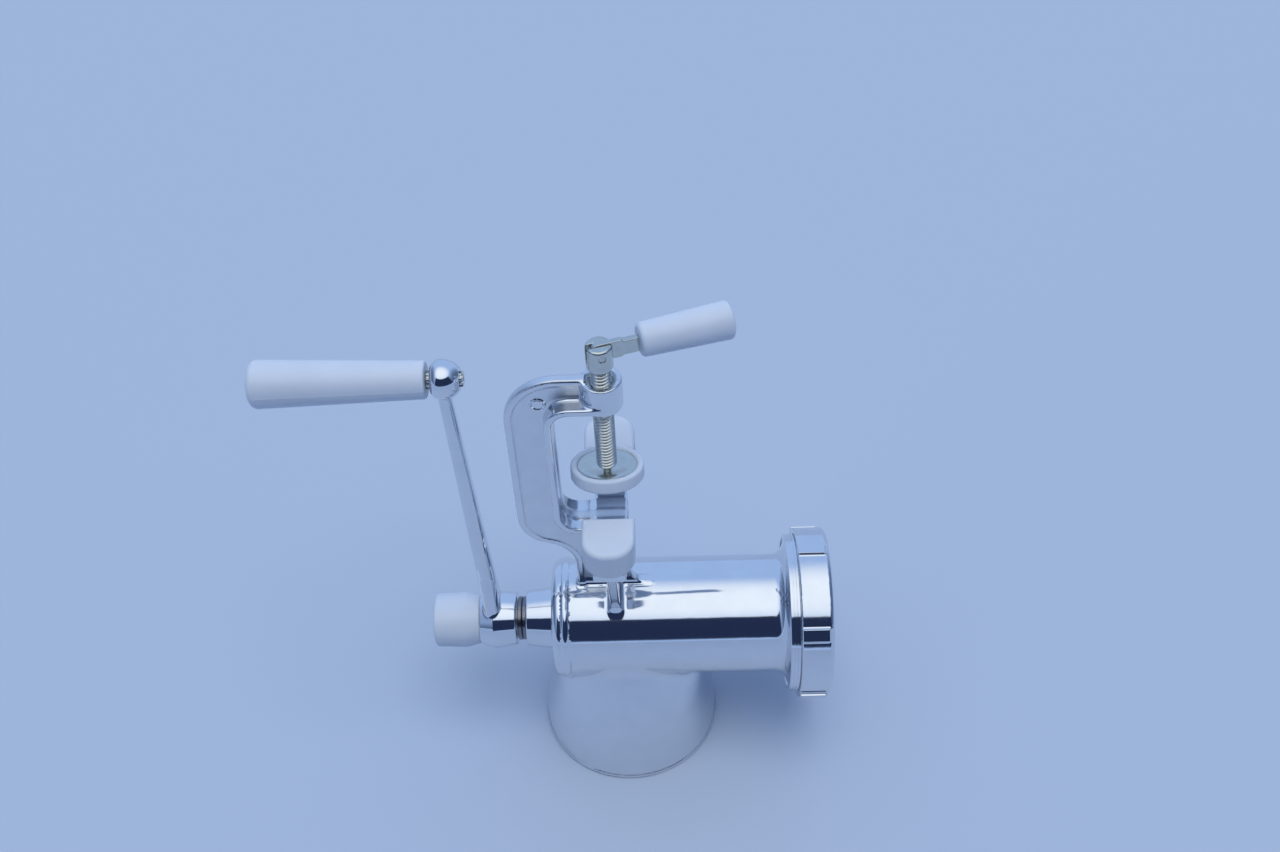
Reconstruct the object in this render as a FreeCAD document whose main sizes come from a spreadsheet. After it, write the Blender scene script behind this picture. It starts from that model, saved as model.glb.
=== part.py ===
import FreeCAD, Part
import os
import Sketcher
from math import atan2, cos, radians, sin, sqrt

# Hand crank meat grinder, standing on its hopper mouth with the table clamp upwards.
# Millimetres. X runs along the barrel towards the outlet, Z is up,
# and the origin is the middle of the hopper mouth.

driving = {
    # Running and seating clearances
    "fit_gap": 0.05,
    "face_gap": 0.1,
    # Hopper bowl
    "mouth_radius": 43.0,
    "hopper_wall": 3.2,
    "hopper_curve": 148.0,
    "rim_height": 2.2,
    "rim_proud": 0.7,
    "throat_radius": 21.5,
    "throat_height": 57.5,
    "throat_curve": 104.0,
    # Barrel, rear bead and shaft boss
    "barrel_height": 75.7,
    "barrel_wall": 3.5,
    "barrel_bore": 24.0,
    "barrel_back": 25.0,
    "barrel_front": 71.5,
    "bead_proud": 1.1,
    "bead_round": 3.8,
    "bead_slope": 1.4,
    "rear_wall": 8.5,
    "boss_root_radius": 14.8,
    "boss_end_radius": 13.0,
    "boss_length": 13.0,
    # Outlet flange, threaded spigot and knife chamber
    "flare_length": 4.3,
    "flare_curve": 9.0,
    "flange_proud": 0.6,
    "flange_width": 4.0,
    "spigot_wall": 2.2,
    "spigot_length": 8.7,
    "chamber_radius": 34.2,
    "chamber_depth": 11.0,
    # Table clamp frame
    "screw_offset": 3.5,
    "web_thickness": 3.4,
    "flange_span": 17.8,
    "flange_plate": 3.0,
    "edge_bead": 3.3,
    "edge_bead_span": 4.8,
    "spine_inner": 24.5,
    "spine_depth": 19.5,
    "neck_height": 46.8,
    "jaw_opening": 70.0,
    "jaw_corner": 7.5,
    "frame_depth": 13.4,
    "frame_corner": 23.0,
    "neck_back": 20.4,
    "neck_front": 3.5,
    "neck_straight": 14.8,
    "neck_curve": 16.0,
    "heel_curve": 16.5,
    "neck_fillet": 9.0,
    "mould_mark_radius": 2.9,
    "mould_mark_proud": 0.4,
    "mould_mark_inset": 5.1,
    "mould_mark_rise": 0.6,
    # Clamp boss
    "clamp_boss_radius": 8.4,
    "clamp_boss_drop": 1.4,
    "clamp_boss_length": 14.0,
    "clamp_sink_width": 2.0,
    "clamp_sink_depth": 1.8,
    # Jaw arms, gusset, feet and their caps
    "arm_width": 14.0,
    "arm_depth": 11.0,
    "arm_shoulder": 15.0,
    "gusset_thickness": 4.5,
    "gusset_foot": 15.0,
    "gusset_step": 3.0,
    "gusset_reach": 30.0,
    "foot_width": 16.8,
    "foot_inner": 22.1,
    "foot_length": 16.3,
    "foot_round": 7.5,
    "foot_rise": 4.0,
    "foot_height": 14.4,
    "cap_wall": 2.6,
    "cap_crown": 2.6,
    "cap_height": 15.0,
    "cap_edge": 2.4,
    # Shaft bush and thrust washer
    "bush_wall": 1.5,
    "bush_flange": 4.1,
    "bush_lip": 1.3,
    "washer_thickness": 2.4,
    "washer_radius": 20.0,
    # Feed screw
    "journal_radius": 7.45,
    "hub_gap": 0.6,
    "square_flat": 10.0,
    "square_length": 14.5,
    "core_back_radius": 9.5,
    "core_front_radius": 13.0,
    "flight_gap": 0.45,
    "flight_root": 6.5,
    "flight_tip": 3.6,
    "flight_pitch": 27.0,
    "flight_clear": 3.0,
    # Knife, its stud and the perforated plate
    "knife_stud_radius": 4.0,
    "knife_stud_root": 18.0,
    "knife_square": 9.0,
    "knife_thickness": 6.6,
    "knife_hub_radius": 10.0,
    "knife_gap": 2.2,
    "blade_width": 9.0,
    "blade_lead": 3.0,
    "blade_count": 4,
    "plate_gap": 0.15,
    "plate_seat": 3.5,
    "plate_thickness": 6.0,
    "plate_journal": 4.4,
    "plate_hole": 3.0,
    "ring_one_radius": 10.6,
    "ring_one_count": 6,
    "ring_step": 7.8,
    "ring_two_count": 12,
    "ring_three_count": 18,
    "key_radius": 1.6,
    "key_length": 9.0,
    # Ring nut
    "nut_wall": 3.0,
    "nut_lip": 3.5,
    "nut_overlap": 2.7,
    "nut_round": 2.0,
    "nut_rib_width": 6.0,
    "nut_rib_proud": 1.3,
    "nut_rib_count": 6,
    "nut_rib_angle": 22.3,
    # Crank
    "crank_tilt": 5.7,
    "crank_radius": 145.5,
    "crank_lean": 3.3,
    "hub_length": 17.3,
    "hub_belly": 10.3,
    "hub_front_radius": 12.3,
    "hub_belly_radius": 14.0,
    "hub_back_radius": 11.5,
    "rod_base_radius": 4.2,
    "rod_tip_radius": 2.8,
    "rod_flare": 16.0,
    "root_span": 21.0,
    "root_thickness": 6.8,
    "root_corner": 2.6,
    "root_bite": 3.0,
    "root_ledge": 0.3,
    "eye_length": 12.0,
    "eye_belly": 8.0,
    "eye_radius": 8.5,
    "eye_back_radius": 6.0,
    "eye_front_radius": 4.8,
    "eye_back_curve": 5.0,
    "eye_front_curve": 9.5,
    "spindle_radius": 3.0,
    "spindle_shoulder": 1.2,
    "spindle_collar": 1.8,
    "spindle_rivet": 1.4,
    "spindle_rivet_spread": 0.5,
    "spindle_reach": 62.0,
    "spindle_barb": 4.0,
    "grip_length": 72.5,
    "grip_inner_radius": 8.0,
    "grip_outer_radius": 10.2,
    "grip_inner_edge": 1.2,
    "grip_outer_edge": 3.2,
    # Crank thumb screw
    "knob_length": 21.5,
    "knob_radius": 13.0,
    "knob_collar": 6.5,
    "knob_collar_radius": 11.4,
    "knob_taper": 0.5,
    "knob_edge": 2.0,
    "stud_radius": 3.0,
    "stud_reach": 27.0,
    "stud_head": 14.0,
    "stud_head_radius": 5.0,
    "stud_head_length": 4.0,
    # Clamp screw
    "screw_radius": 4.4,
    "pivot_rise": 9.55,
    "pivot_pin_radius": 1.6,
    "pivot_shoulder": 2.4,
    "pivot_chamfer": 1.0,
    "rivet_drop": 1.3,
    "rivet_thickness": 1.0,
    "rivet_lap": 0.3,
    "head_stand": 6.9,
    "head_proud": 1.1,
    "head_height": 11.2,
    "head_dome": 1.0,
    "slot_floor": 4.5,
    # Clamp lever
    "lever_rise": 7.5,
    "lever_azimuth": 16.5,
    "lever_thickness": 2.5,
    "lever_eye": 4.3,
    "lever_bar": 7.2,
    "lever_step": 9.0,
    "lever_reach": 46.0,
    "lever_pin_radius": 1.4,
    "lever_grip_start": 16.2,
    "lever_grip_rise": 1.2,
    "lever_grip_length": 38.0,
    "lever_grip_inner": 7.0,
    "lever_grip_outer": 7.9,
    "lever_grip_edge": 2.0,
    # Swivel pad
    "pad_tilt": 16.0,
    "pad_wall": 2.85,
    "pad_floor": 1.2,
    "pad_depth": 4.3,
    "pad_rim": 2.2,
    "pad_edge": 1.3,
    "dish_radius": 12.7,
    "dish_plate": 1.0,
    "dish_rise": 1.5,
    "dish_ledge": 1.6,
    "dish_flat": 5.5,
    "dish_play": 0.7,
}


class Size:
    # A length with the sheet expression that it comes from.
    def __init__(self, value, text):
        self.value = float(value)
        self.text = text

    def __add__(self, other):
        other = sized(other)
        return Size(self.value + other.value, f"({self.text} + {other.text})")

    def __sub__(self, other):
        other = sized(other)
        return Size(self.value - other.value, f"({self.text} - {other.text})")

    def __mul__(self, other):
        other = sized(other)
        return Size(self.value * other.value, f"({self.text} * {other.text})")

    def __truediv__(self, other):
        other = sized(other)
        return Size(self.value / other.value, f"({self.text} / {other.text})")

    def __neg__(self):
        return Size(-self.value, f"(0 - {self.text})")

    def __radd__(self, other):
        return sized(other) + self

    def __rsub__(self, other):
        return sized(other) - self

    def __rmul__(self, other):
        return sized(other) * self


def sized(number):
    return number if isinstance(number, Size) else Size(number, repr(float(number)))


def root(size):
    return Size(sqrt(size.value), f"sqrt({size.text})")


def cosine(degrees):
    return Size(cos(radians(degrees.value)), f"cos({degrees.text})")


def sine(degrees):
    return Size(sin(radians(degrees.value)), f"sin({degrees.text})")


class Sizes:
    # The sheet of driving sizes, one named cell each.
    def __init__(self, document, table):
        self.table = table
        sheet = document.addObject("Spreadsheet::Sheet", "sizes")
        for row, (name, value) in enumerate(table.items(), start=1):
            sheet.set(f"A{row}", name)
            sheet.set(f"B{row}", str(value))
            sheet.setAlias(f"B{row}", name)

    def __getattr__(self, name):
        return Size(self.table[name], f"sizes.{name}")


doc = FreeCAD.newDocument("meat_grinder")
s = Sizes(doc, driving)
doc.recompute()


def bind(item, path, size):
    item.setExpression(path, sized(size).text)


def origin_part(body, role):
    return next(part for part in body.Origin.OriginFeatures if part.Role == role)


def new_body(label, base=None, axis=None, turn=None):
    # A body whose own frame is moved to base and turned about axis.
    body = doc.addObject("PartDesign::Body", label)
    body.Label = label
    if axis:
        body.Placement = FreeCAD.Placement(
            FreeCAD.Vector(0, 0, 0), FreeCAD.Rotation(FreeCAD.Vector(*axis), sized(turn).value)
        )
        bind(body, "Placement.Rotation.Angle", turn)
    for path, size in (base or {}).items():
        bind(body, f"Placement.Base.{path}", size)
    return body


def new_sketch(body, name, plane, shift=None, turn=None):
    sketch = body.newObject("Sketcher::SketchObject", f"{body.Name}_{name}_sketch")
    sketch.AttachmentSupport = [(origin_part(body, plane), "")]
    sketch.MapMode = "FlatFace"
    if turn is not None:
        upright = FreeCAD.Rotation(FreeCAD.Vector(0, 0, 1), sized(turn).value)
        sketch.AttachmentOffset = FreeCAD.Placement(FreeCAD.Vector(0, 0, 0), upright)
        bind(sketch, "AttachmentOffset.Rotation.Angle", turn)
    for path, size in (shift or {}).items():
        bind(sketch, f"AttachmentOffset.Base.{path}", size)
    return sketch


def arc_between(start, end, radius):
    # The shorter arc from start to end: anticlockwise for a positive radius.
    across, up = end[0] - start[0], end[1] - start[1]
    chord = sqrt(across**2 + up**2)
    side = 1 if radius > 0 else -1
    rise = side * sqrt(max(radius**2 - chord**2 / 4, 0.0)) / chord
    middle_u = (start[0] + end[0]) / 2 - up * rise
    middle_v = (start[1] + end[1]) / 2 + across * rise
    angles = [atan2(p[1] - middle_v, p[0] - middle_u) for p in (start, end)]
    if side < 0:
        angles.reverse()
    circle = Part.Circle(FreeCAD.Vector(middle_u, middle_v, 0), FreeCAD.Vector(0, 0, 1), abs(radius))
    return Part.ArcOfCircle(circle, angles[0], angles[1])


def hold(sketch, kind, *places, size):
    number = sketch.addConstraint(Sketcher.Constraint(kind, *places, sized(size).value))
    if "sizes." in sized(size).text:
        bind(sketch, f"Constraints[{number}]", size)


def draw(sketch, corners):
    # A closed outline. A corner is (u, v), or (u, v, radius) where an arc leads to it.
    points = [(sized(corner[0]), sized(corner[1])) for corner in corners]
    count = len(corners)
    ends = []
    for index in range(count):
        follow = (index + 1) % count
        start = [size.value for size in points[index]]
        end = [size.value for size in points[follow]]
        if len(corners[follow]) == 3:
            radius = sized(corners[follow][2])
            edge = sketch.addGeometry(arc_between(start, end, radius.value), False)
            ends.append((edge, 1, 2) if radius.value > 0 else (edge, 2, 1))
        else:
            line = Part.LineSegment(FreeCAD.Vector(*start, 0), FreeCAD.Vector(*end, 0))
            ends.append((sketch.addGeometry(line, False), 1, 2))
    for index in range(count):
        follow = (index + 1) % count
        edge, first, last = ends[index]
        sketch.addConstraint(
            Sketcher.Constraint("Coincident", edge, last, ends[follow][0], ends[follow][1])
        )
        for kind, size, axis in (("DistanceX", points[index][0], -2), ("DistanceY", points[index][1], -1)):
            if size.text == "0.0":
                sketch.addConstraint(Sketcher.Constraint("PointOnObject", edge, first, axis))
            else:
                hold(sketch, kind, -1, 1, edge, first, size=size)
        if len(corners[follow]) == 3:
            radius = sized(corners[follow][2])
            hold(sketch, "Radius", edge, size=radius if radius.value > 0 else -radius)


def draw_circle(sketch, across, up, radius):
    middle = FreeCAD.Vector(sized(across).value, sized(up).value, 0)
    edge = sketch.addGeometry(Part.Circle(middle, FreeCAD.Vector(0, 0, 1), sized(radius).value), False)
    for kind, size, axis in (("DistanceX", sized(across), -2), ("DistanceY", sized(up), -1)):
        if size.text == "0.0":
            sketch.addConstraint(Sketcher.Constraint("PointOnObject", edge, 3, axis))
        else:
            hold(sketch, kind, -1, 1, edge, 3, size=size)
    hold(sketch, "Radius", edge, size=radius)


def extrude(body, kind, name, sketch, length, symmetric=False, reverse=False):
    feature = body.newObject(f"PartDesign::{kind}", f"{body.Name}_{name}")
    feature.Profile = sketch
    feature.SideType = "Symmetric" if symmetric else "One side"
    feature.Reversed = reverse
    bind(feature, "Length", length)
    return feature


def turn_profile(body, kind, name, plane, axis, corners, shift=None, turn=None):
    sketch = new_sketch(body, name, plane, shift, turn)
    draw(sketch, corners)
    feature = body.newObject(f"PartDesign::{kind}", f"{body.Name}_{name}")
    feature.Profile = sketch
    feature.ReferenceAxis = (sketch, [axis])
    feature.Angle = 360
    return feature


def polygon(body, kind, name, plane, corners, length, shift=None, turn=None, **ways):
    sketch = new_sketch(body, name, plane, shift, turn)
    draw(sketch, corners)
    return extrude(body, kind, name, sketch, length, **ways)


def disc(body, kind, name, plane, middle, radius, length, shift=None, **ways):
    sketch = new_sketch(body, name, plane, shift)
    draw_circle(sketch, middle[0], middle[1], radius)
    return extrude(body, kind, name, sketch, length, **ways)


def around(body, feature, axis, count):
    pattern = body.newObject("PartDesign::PolarPattern", f"{feature.Name}_ring")
    pattern.Originals = [feature]
    pattern.Axis = (origin_part(body, axis), [""])
    pattern.Angle = 360
    bind(pattern, "Occurrences", count)
    body.Tip = pattern
    return pattern


def round_edges(body, name, radius, wanted):
    # Fillets the edges of the body so far that wanted picks out.
    doc.recompute()
    base = body.Tip
    names = [f"Edge{i}" for i, edge in enumerate(base.Shape.Edges, start=1) if wanted(edge)]
    fillet = body.newObject("PartDesign::Fillet", f"{body.Name}_{name}")
    fillet.Base = (base, names)
    bind(fillet, "Radius", radius)
    return fillet


def box_corners(low_u, low_v, high_u, high_v):
    return [(low_u, low_v), (high_u, low_v), (high_u, high_v), (low_u, high_v)]


def rounded_box(half_u, half_v, bend):
    # A box about the origin with round corners.
    flat_u, flat_v = half_u - bend, half_v - bend
    return [
        (half_u, -flat_v, bend),
        (half_u, flat_v),
        (flat_u, half_v, bend),
        (-flat_u, half_v),
        (-half_u, flat_v, bend),
        (-half_u, -flat_v),
        (-flat_u, -half_v, bend),
        (flat_u, -half_v),
    ]


def mirrored(half):
    # Completes an outline given on the positive side of the upright axis, from bottom to top.
    return half + [(-u, v) for u, v in reversed(half)]


# Radii round the barrel axis
barrel_radius = s.barrel_bore + s.barrel_wall
bead_radius = barrel_radius + s.bead_proud
spigot_radius = s.chamber_radius + s.spigot_wall
flange_radius = spigot_radius + s.flange_proud
nut_radius = spigot_radius + s.face_gap + s.nut_wall
nut_mouth = s.chamber_radius - s.nut_overlap
knife_reach = s.chamber_radius - s.knife_gap
bush_radius = s.journal_radius + s.fit_gap + s.bush_wall
ring_two_radius = s.ring_one_radius + s.ring_step
ring_three_radius = ring_two_radius + s.ring_step

# Places along the barrel axis, worked out from the outlet and from the rear wall
flare_end = s.barrel_front + s.flare_length
flange_end = flare_end + s.flange_width
spigot_end = flange_end + s.spigot_length
chamber_floor = spigot_end - s.chamber_depth
plate_back = spigot_end - s.plate_seat
plate_front = plate_back + s.plate_thickness
knife_back = plate_back - s.face_gap - s.knife_thickness
screw_front = knife_back - s.face_gap
wall_face = -s.barrel_back - s.rear_wall
boss_face = wall_face - s.boss_length
bush_face = boss_face - s.bush_flange
hub_seat = bush_face - s.hub_gap
hub_end = hub_seat - s.hub_length
square_end = hub_seat - s.square_length
screw_back = s.washer_thickness + s.face_gap - s.barrel_back

# Places on the clamp
barrel_top = s.barrel_height + barrel_radius
neck_bend = barrel_top + s.neck_straight
jaw_floor = barrel_top + s.neck_height
jaw_ceiling = jaw_floor + s.jaw_opening
frame_top = jaw_ceiling + s.frame_depth
spine_outer = s.spine_inner + s.spine_depth
clamp_x = -s.screw_offset
clamp_boss_base = jaw_ceiling - s.clamp_boss_drop
clamp_boss_top = clamp_boss_base + s.clamp_boss_length
clamp_sink_radius = s.screw_radius + s.clamp_sink_width
foot_outer = s.foot_inner + s.foot_length
foot_base = jaw_floor + s.foot_rise
foot_top = foot_base + s.foot_height
cap_top = foot_top + s.fit_gap + s.cap_crown
cap_base = cap_top - s.cap_height
arm_top = cap_base - s.face_gap
head_base = clamp_boss_top + s.head_stand
head_radius = s.screw_radius + s.head_proud
lever_height = head_base + s.lever_rise
slot_base = lever_height - s.slot_floor
pivot_height = cap_top + s.pivot_rise
dish_hole = s.pivot_pin_radius + s.dish_play
rivet_radius = dish_hole + s.rivet_lap
pad_radius = s.dish_radius + s.fit_gap + s.pad_wall
on_barrel = {"z": s.barrel_height}
on_screw = {"x": clamp_x}
crank_turn = -s.crank_tilt
eye_middle = hub_seat - s.hub_belly - s.crank_radius * sine(s.crank_lean) / cosine(s.crank_lean)
eye_back = eye_middle + s.eye_belly - s.eye_length
collar_end = eye_back - s.spindle_collar
spindle_end = collar_end - s.spindle_reach
barb_start = spindle_end + s.spindle_barb
spindle_collar_radius = s.spindle_radius + s.spindle_shoulder
spindle_rivet_radius = s.spindle_radius + s.spindle_rivet_spread


def clamp_contour(inset):
    # The outer edge of neck, heel, spine and top, moved inwards by inset, from barrel to screw.
    neck_x = -s.neck_back - s.neck_curve
    heel_x = s.heel_curve - spine_outer
    reach = s.neck_curve + s.heel_curve
    step = heel_x - neck_x
    rise = root(reach * reach - step * step)
    share = (s.neck_curve + inset) / reach
    heel_z = neck_bend + rise
    return [
        (inset - s.neck_back, s.barrel_height),
        (inset - s.neck_back, neck_bend),
        (neck_x + step * share, neck_bend + rise * share, s.neck_curve + inset),
        (inset - spine_outer, heel_z, inset - s.heel_curve),
        (inset - spine_outer, frame_top - s.frame_corner),
        (s.frame_corner - spine_outer, frame_top - inset, inset - s.frame_corner),
        (clamp_x, frame_top - inset),
    ]


def jaw_contour(outset):
    # The edge of the jaw opening, moved outwards by outset, from the clamp boss to the neck.
    corner = s.jaw_corner + outset
    return [
        (clamp_x, jaw_ceiling + outset),
        (s.jaw_corner - s.spine_inner, jaw_ceiling + outset),
        (-s.spine_inner - outset, jaw_ceiling - s.jaw_corner, corner),
        (-s.spine_inner - outset, jaw_floor + s.jaw_corner),
        (s.jaw_corner - s.spine_inner, jaw_floor - outset, corner),
        (s.neck_front, jaw_floor - outset),
    ]


def backwards(contour):
    # The same run of lines and arcs from its end to its start.
    plain = [corner[:2] for corner in reversed(contour)]
    bends = [corner[2] if len(corner) == 3 else None for corner in reversed(contour)]
    turned = [plain[0]]
    for place, bend in zip(plain[1:], bends[:-1]):
        turned.append(place if bend is None else (*place, -bend))
    return turned


def foot_plan(side, grow):
    # A foot seen from above: square inside, rounded outside.
    half = s.foot_width / 2 + grow
    bend = s.foot_round + grow
    near = (s.foot_inner - grow) * side
    far = (foot_outer + grow) * side
    turn_at = (foot_outer - s.foot_round) * side
    return [
        (clamp_x - half, near),
        (clamp_x + half, near),
        (clamp_x + half, turn_at),
        (clamp_x + half - bend, far, bend * side),
        (clamp_x - half + bend, far),
        (clamp_x - half, turn_at, bend * side),
    ]


def make_casting():
    body = new_body("grinder_body")
    turn_profile(body, "Revolution", "barrel", "XZ_Plane", "H_Axis", [
        (boss_face, 0),
        (spigot_end, 0),
        (spigot_end, spigot_radius),
        (flange_end, spigot_radius),
        (flange_end, flange_radius),
        (flare_end, flange_radius),
        (s.barrel_front, barrel_radius, -s.flare_curve),
        (-s.barrel_back, barrel_radius),
        (-s.barrel_back - s.bead_slope, bead_radius),
        (wall_face + s.bead_round, bead_radius),
        (wall_face, bead_radius - s.bead_round, s.bead_round),
        (wall_face, s.boss_root_radius),
        (boss_face, s.boss_end_radius),
    ], shift={"y": s.barrel_height})

    # Hopper bowl, straight at the mouth and drawn in towards the barrel
    bowl_radius = s.mouth_radius - s.rim_proud
    bowl_rise = s.barrel_height - s.rim_height
    bowl_in = s.hopper_curve - root(s.hopper_curve * s.hopper_curve - bowl_rise * bowl_rise)
    turn_profile(body, "Revolution", "hopper", "XZ_Plane", "V_Axis", [
        (0, 0),
        (s.mouth_radius, 0),
        (s.mouth_radius, s.rim_height),
        (bowl_radius, s.rim_height),
        (bowl_radius - bowl_in, s.barrel_height, s.hopper_curve),
        (0, s.barrel_height),
    ])

    # Clamp frame: thin web, broad flange round the jaw and a bead along the outer edge
    neck_foot = [
        (s.neck_front, barrel_top + s.neck_fillet),
        (s.neck_front + s.neck_fillet, barrel_top, s.neck_fillet),
        (s.neck_front + s.neck_fillet, s.barrel_height),
    ]
    polygon(body, "Pad", "web", "XZ_Plane", clamp_contour(sized(0)) + jaw_contour(sized(0)) + neck_foot,
            s.web_thickness, symmetric=True)
    polygon(body, "Pad", "edge", "XZ_Plane", clamp_contour(sized(0)) + backwards(clamp_contour(s.edge_bead)),
            s.edge_bead_span, symmetric=True)
    polygon(body, "Pad", "flange", "XZ_Plane", jaw_contour(sized(0)) + backwards(jaw_contour(s.flange_plate)),
            s.flange_span, symmetric=True)
    disc(body, "Pad", "mould_mark", "XZ_Plane", (-s.spine_inner - s.mould_mark_inset, jaw_ceiling + s.mould_mark_rise),
         s.mould_mark_radius, s.web_thickness / 2 + s.mould_mark_proud)
    disc(body, "Pad", "clamp_boss", "XY_Plane", (clamp_x, 0), s.clamp_boss_radius,
         s.clamp_boss_length, shift={"z": clamp_boss_base})

    # Two jaw arms, the gusset under them and the feet that stand up at their ends
    polygon(body, "Pad", "arms", "YZ_Plane", mirrored([
        (s.arm_shoulder, jaw_floor - s.arm_depth),
        (foot_outer, foot_base - s.flange_plate),
        (foot_outer, arm_top),
        (s.foot_inner, arm_top),
        (s.arm_shoulder, jaw_floor),
    ]), s.arm_width, shift={"z": clamp_x}, symmetric=True)
    gusset_top = jaw_floor - s.flange_plate
    gusset_side = root(barrel_radius * barrel_radius - s.gusset_foot * s.gusset_foot)
    gusset_low = s.barrel_height + gusset_side
    polygon(body, "Pad", "gusset", "YZ_Plane", mirrored([
        (s.gusset_foot, s.barrel_height),
        (s.gusset_foot, gusset_low + s.gusset_step),
        (s.gusset_reach, gusset_top),
    ]), s.gusset_thickness, shift={"z": clamp_x}, symmetric=True)
    feet = new_sketch(body, "feet", "XY_Plane", {"z": foot_base})
    for side in (-1, 1):
        draw(feet, foot_plan(side, sized(0)))
    extrude(body, "Pad", "feet", feet, foot_top - foot_base)

    # Barrel bore, knife chamber and bush seat
    turn_profile(body, "Groove", "bore", "XZ_Plane", "H_Axis", [
        (boss_face - s.rear_wall, 0),
        (spigot_end + s.rear_wall, 0),
        (spigot_end + s.rear_wall, s.chamber_radius),
        (chamber_floor, s.chamber_radius),
        (chamber_floor, s.barrel_bore),
        (-s.barrel_back, s.barrel_bore),
        (-s.barrel_back, bush_radius),
        (boss_face - s.rear_wall, bush_radius),
    ], shift={"y": s.barrel_height})
    turn_profile(body, "Groove", "bowl", "XZ_Plane", "V_Axis", [
        (0, -s.rim_height),
        (s.mouth_radius - s.hopper_wall, -s.rim_height),
        (s.mouth_radius - s.hopper_wall, 0),
        (s.throat_radius, s.throat_height, s.throat_curve),
        (s.throat_radius, s.barrel_height),
        (0, s.barrel_height),
    ])
    turn_profile(body, "Groove", "clamp_thread", "XZ_Plane", "V_Axis", [
        (0, clamp_boss_base - s.clamp_sink_depth),
        (s.screw_radius + s.fit_gap, clamp_boss_base - s.clamp_sink_depth),
        (s.screw_radius + s.fit_gap, clamp_boss_top - s.clamp_sink_depth),
        (clamp_sink_radius, clamp_boss_top),
        (clamp_sink_radius, clamp_boss_top + s.clamp_sink_depth),
        (0, clamp_boss_top + s.clamp_sink_depth),
    ], shift={"x": clamp_x})
    disc(body, "Pocket", "key_seat", "YZ_Plane", (0, s.barrel_height + s.chamber_radius),
         s.key_radius + s.fit_gap, s.key_length, shift={"z": spigot_end})
    return body


def make_foot_cap(label, side):
    body = new_body(label)
    outside = s.fit_gap + s.cap_wall
    polygon(body, "Pad", "shell", "XY_Plane", foot_plan(side, outside), s.cap_height,
            shift={"z": cap_top}, reverse=True)
    round_edges(body, "crown", s.cap_edge,
                lambda edge: edge.BoundBox.ZMin > cap_top.value - s.fit_gap.value)
    polygon(body, "Pocket", "socket", "XY_Plane", foot_plan(side, s.fit_gap), s.cap_height,
            shift={"z": cap_top - s.cap_crown})
    return body


def make_shaft_bush():
    body = new_body("shaft_bush", on_barrel)
    bore = s.journal_radius + s.fit_gap
    outer = bush_radius - s.fit_gap
    turn_profile(body, "Revolution", "sleeve", "XZ_Plane", "H_Axis", [
        (-s.barrel_back, bore),
        (-s.barrel_back, outer),
        (boss_face, outer),
        (boss_face, outer + s.bush_lip),
        (bush_face, outer + s.bush_lip),
        (bush_face, bore),
    ])
    return body


def make_thrust_washer():
    body = new_body("thrust_washer", on_barrel)
    turn_profile(body, "Revolution", "ring", "XZ_Plane", "H_Axis", box_corners(
        -s.barrel_back, s.journal_radius + s.fit_gap,
        s.washer_thickness - s.barrel_back, s.washer_radius,
    ))
    return body


def make_feed_screw():
    body = new_body("feed_screw", on_barrel, (1, 0, 0), crank_turn)
    turn_profile(body, "Revolution", "core", "XZ_Plane", "H_Axis", [
        (hub_seat, 0),
        (screw_front, 0),
        (screw_front, s.core_front_radius),
        (screw_back, s.core_back_radius),
        (screw_back, s.journal_radius),
        (hub_seat, s.journal_radius),
    ])

    # Helical flight, wound left-handed so that turning the crank clockwise feeds to the outlet
    flight_radius = s.barrel_bore - s.flight_gap
    flight_start = screw_back + s.face_gap
    flight_sink = s.core_back_radius / 2
    lean = (s.flight_root - s.flight_tip) / 2
    sketch = new_sketch(body, "flight", "XZ_Plane")
    draw(sketch, [
        (flight_start, flight_sink),
        (flight_start + s.flight_root, flight_sink),
        (flight_start + s.flight_root - lean, flight_radius),
        (flight_start + lean, flight_radius),
    ])
    flight = body.newObject("PartDesign::AdditiveHelix", "feed_screw_flight")
    flight.Profile = sketch
    flight.ReferenceAxis = (sketch, ["H_Axis"])
    flight.Mode = "pitch-height-angle"
    flight.LeftHanded = True
    bind(flight, "Pitch", s.flight_pitch)
    bind(flight, "Height", screw_front - s.flight_clear - flight_start - s.flight_root)

    # Square for the crank, and the two threaded holes
    half = s.square_flat / 2
    polygon(body, "Pad", "square", "YZ_Plane", box_corners(-half, -half, half, half),
            s.square_length + s.hub_gap, shift={"z": square_end})
    hole = s.stud_radius + s.fit_gap
    turn_profile(body, "Groove", "stud_hole", "XZ_Plane", "H_Axis", box_corners(
        square_end - s.hub_gap, 0, hub_end + s.stud_reach + s.hub_gap, hole,
    ))
    turn_profile(body, "Groove", "knife_hole", "XZ_Plane", "H_Axis", box_corners(
        screw_front - s.knife_stud_root - s.face_gap, 0,
        screw_front + s.hub_gap, s.knife_stud_radius + s.fit_gap,
    ))
    return body


def make_knife_stud():
    body = new_body("knife_stud", on_barrel)
    half = s.knife_square / 2
    square_front = plate_back - s.face_gap
    turn_profile(body, "Revolution", "pin", "XZ_Plane", "H_Axis", [
        (screw_front - s.knife_stud_root, 0),
        (plate_front, 0),
        (plate_front, s.plate_journal),
        (square_front, s.plate_journal),
        (square_front, s.knife_stud_radius),
        (screw_front - s.knife_stud_root, s.knife_stud_radius),
    ])
    polygon(body, "Pad", "square", "YZ_Plane", box_corners(-half, -half, half, half),
            square_front - screw_front, shift={"z": screw_front})
    return body


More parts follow.
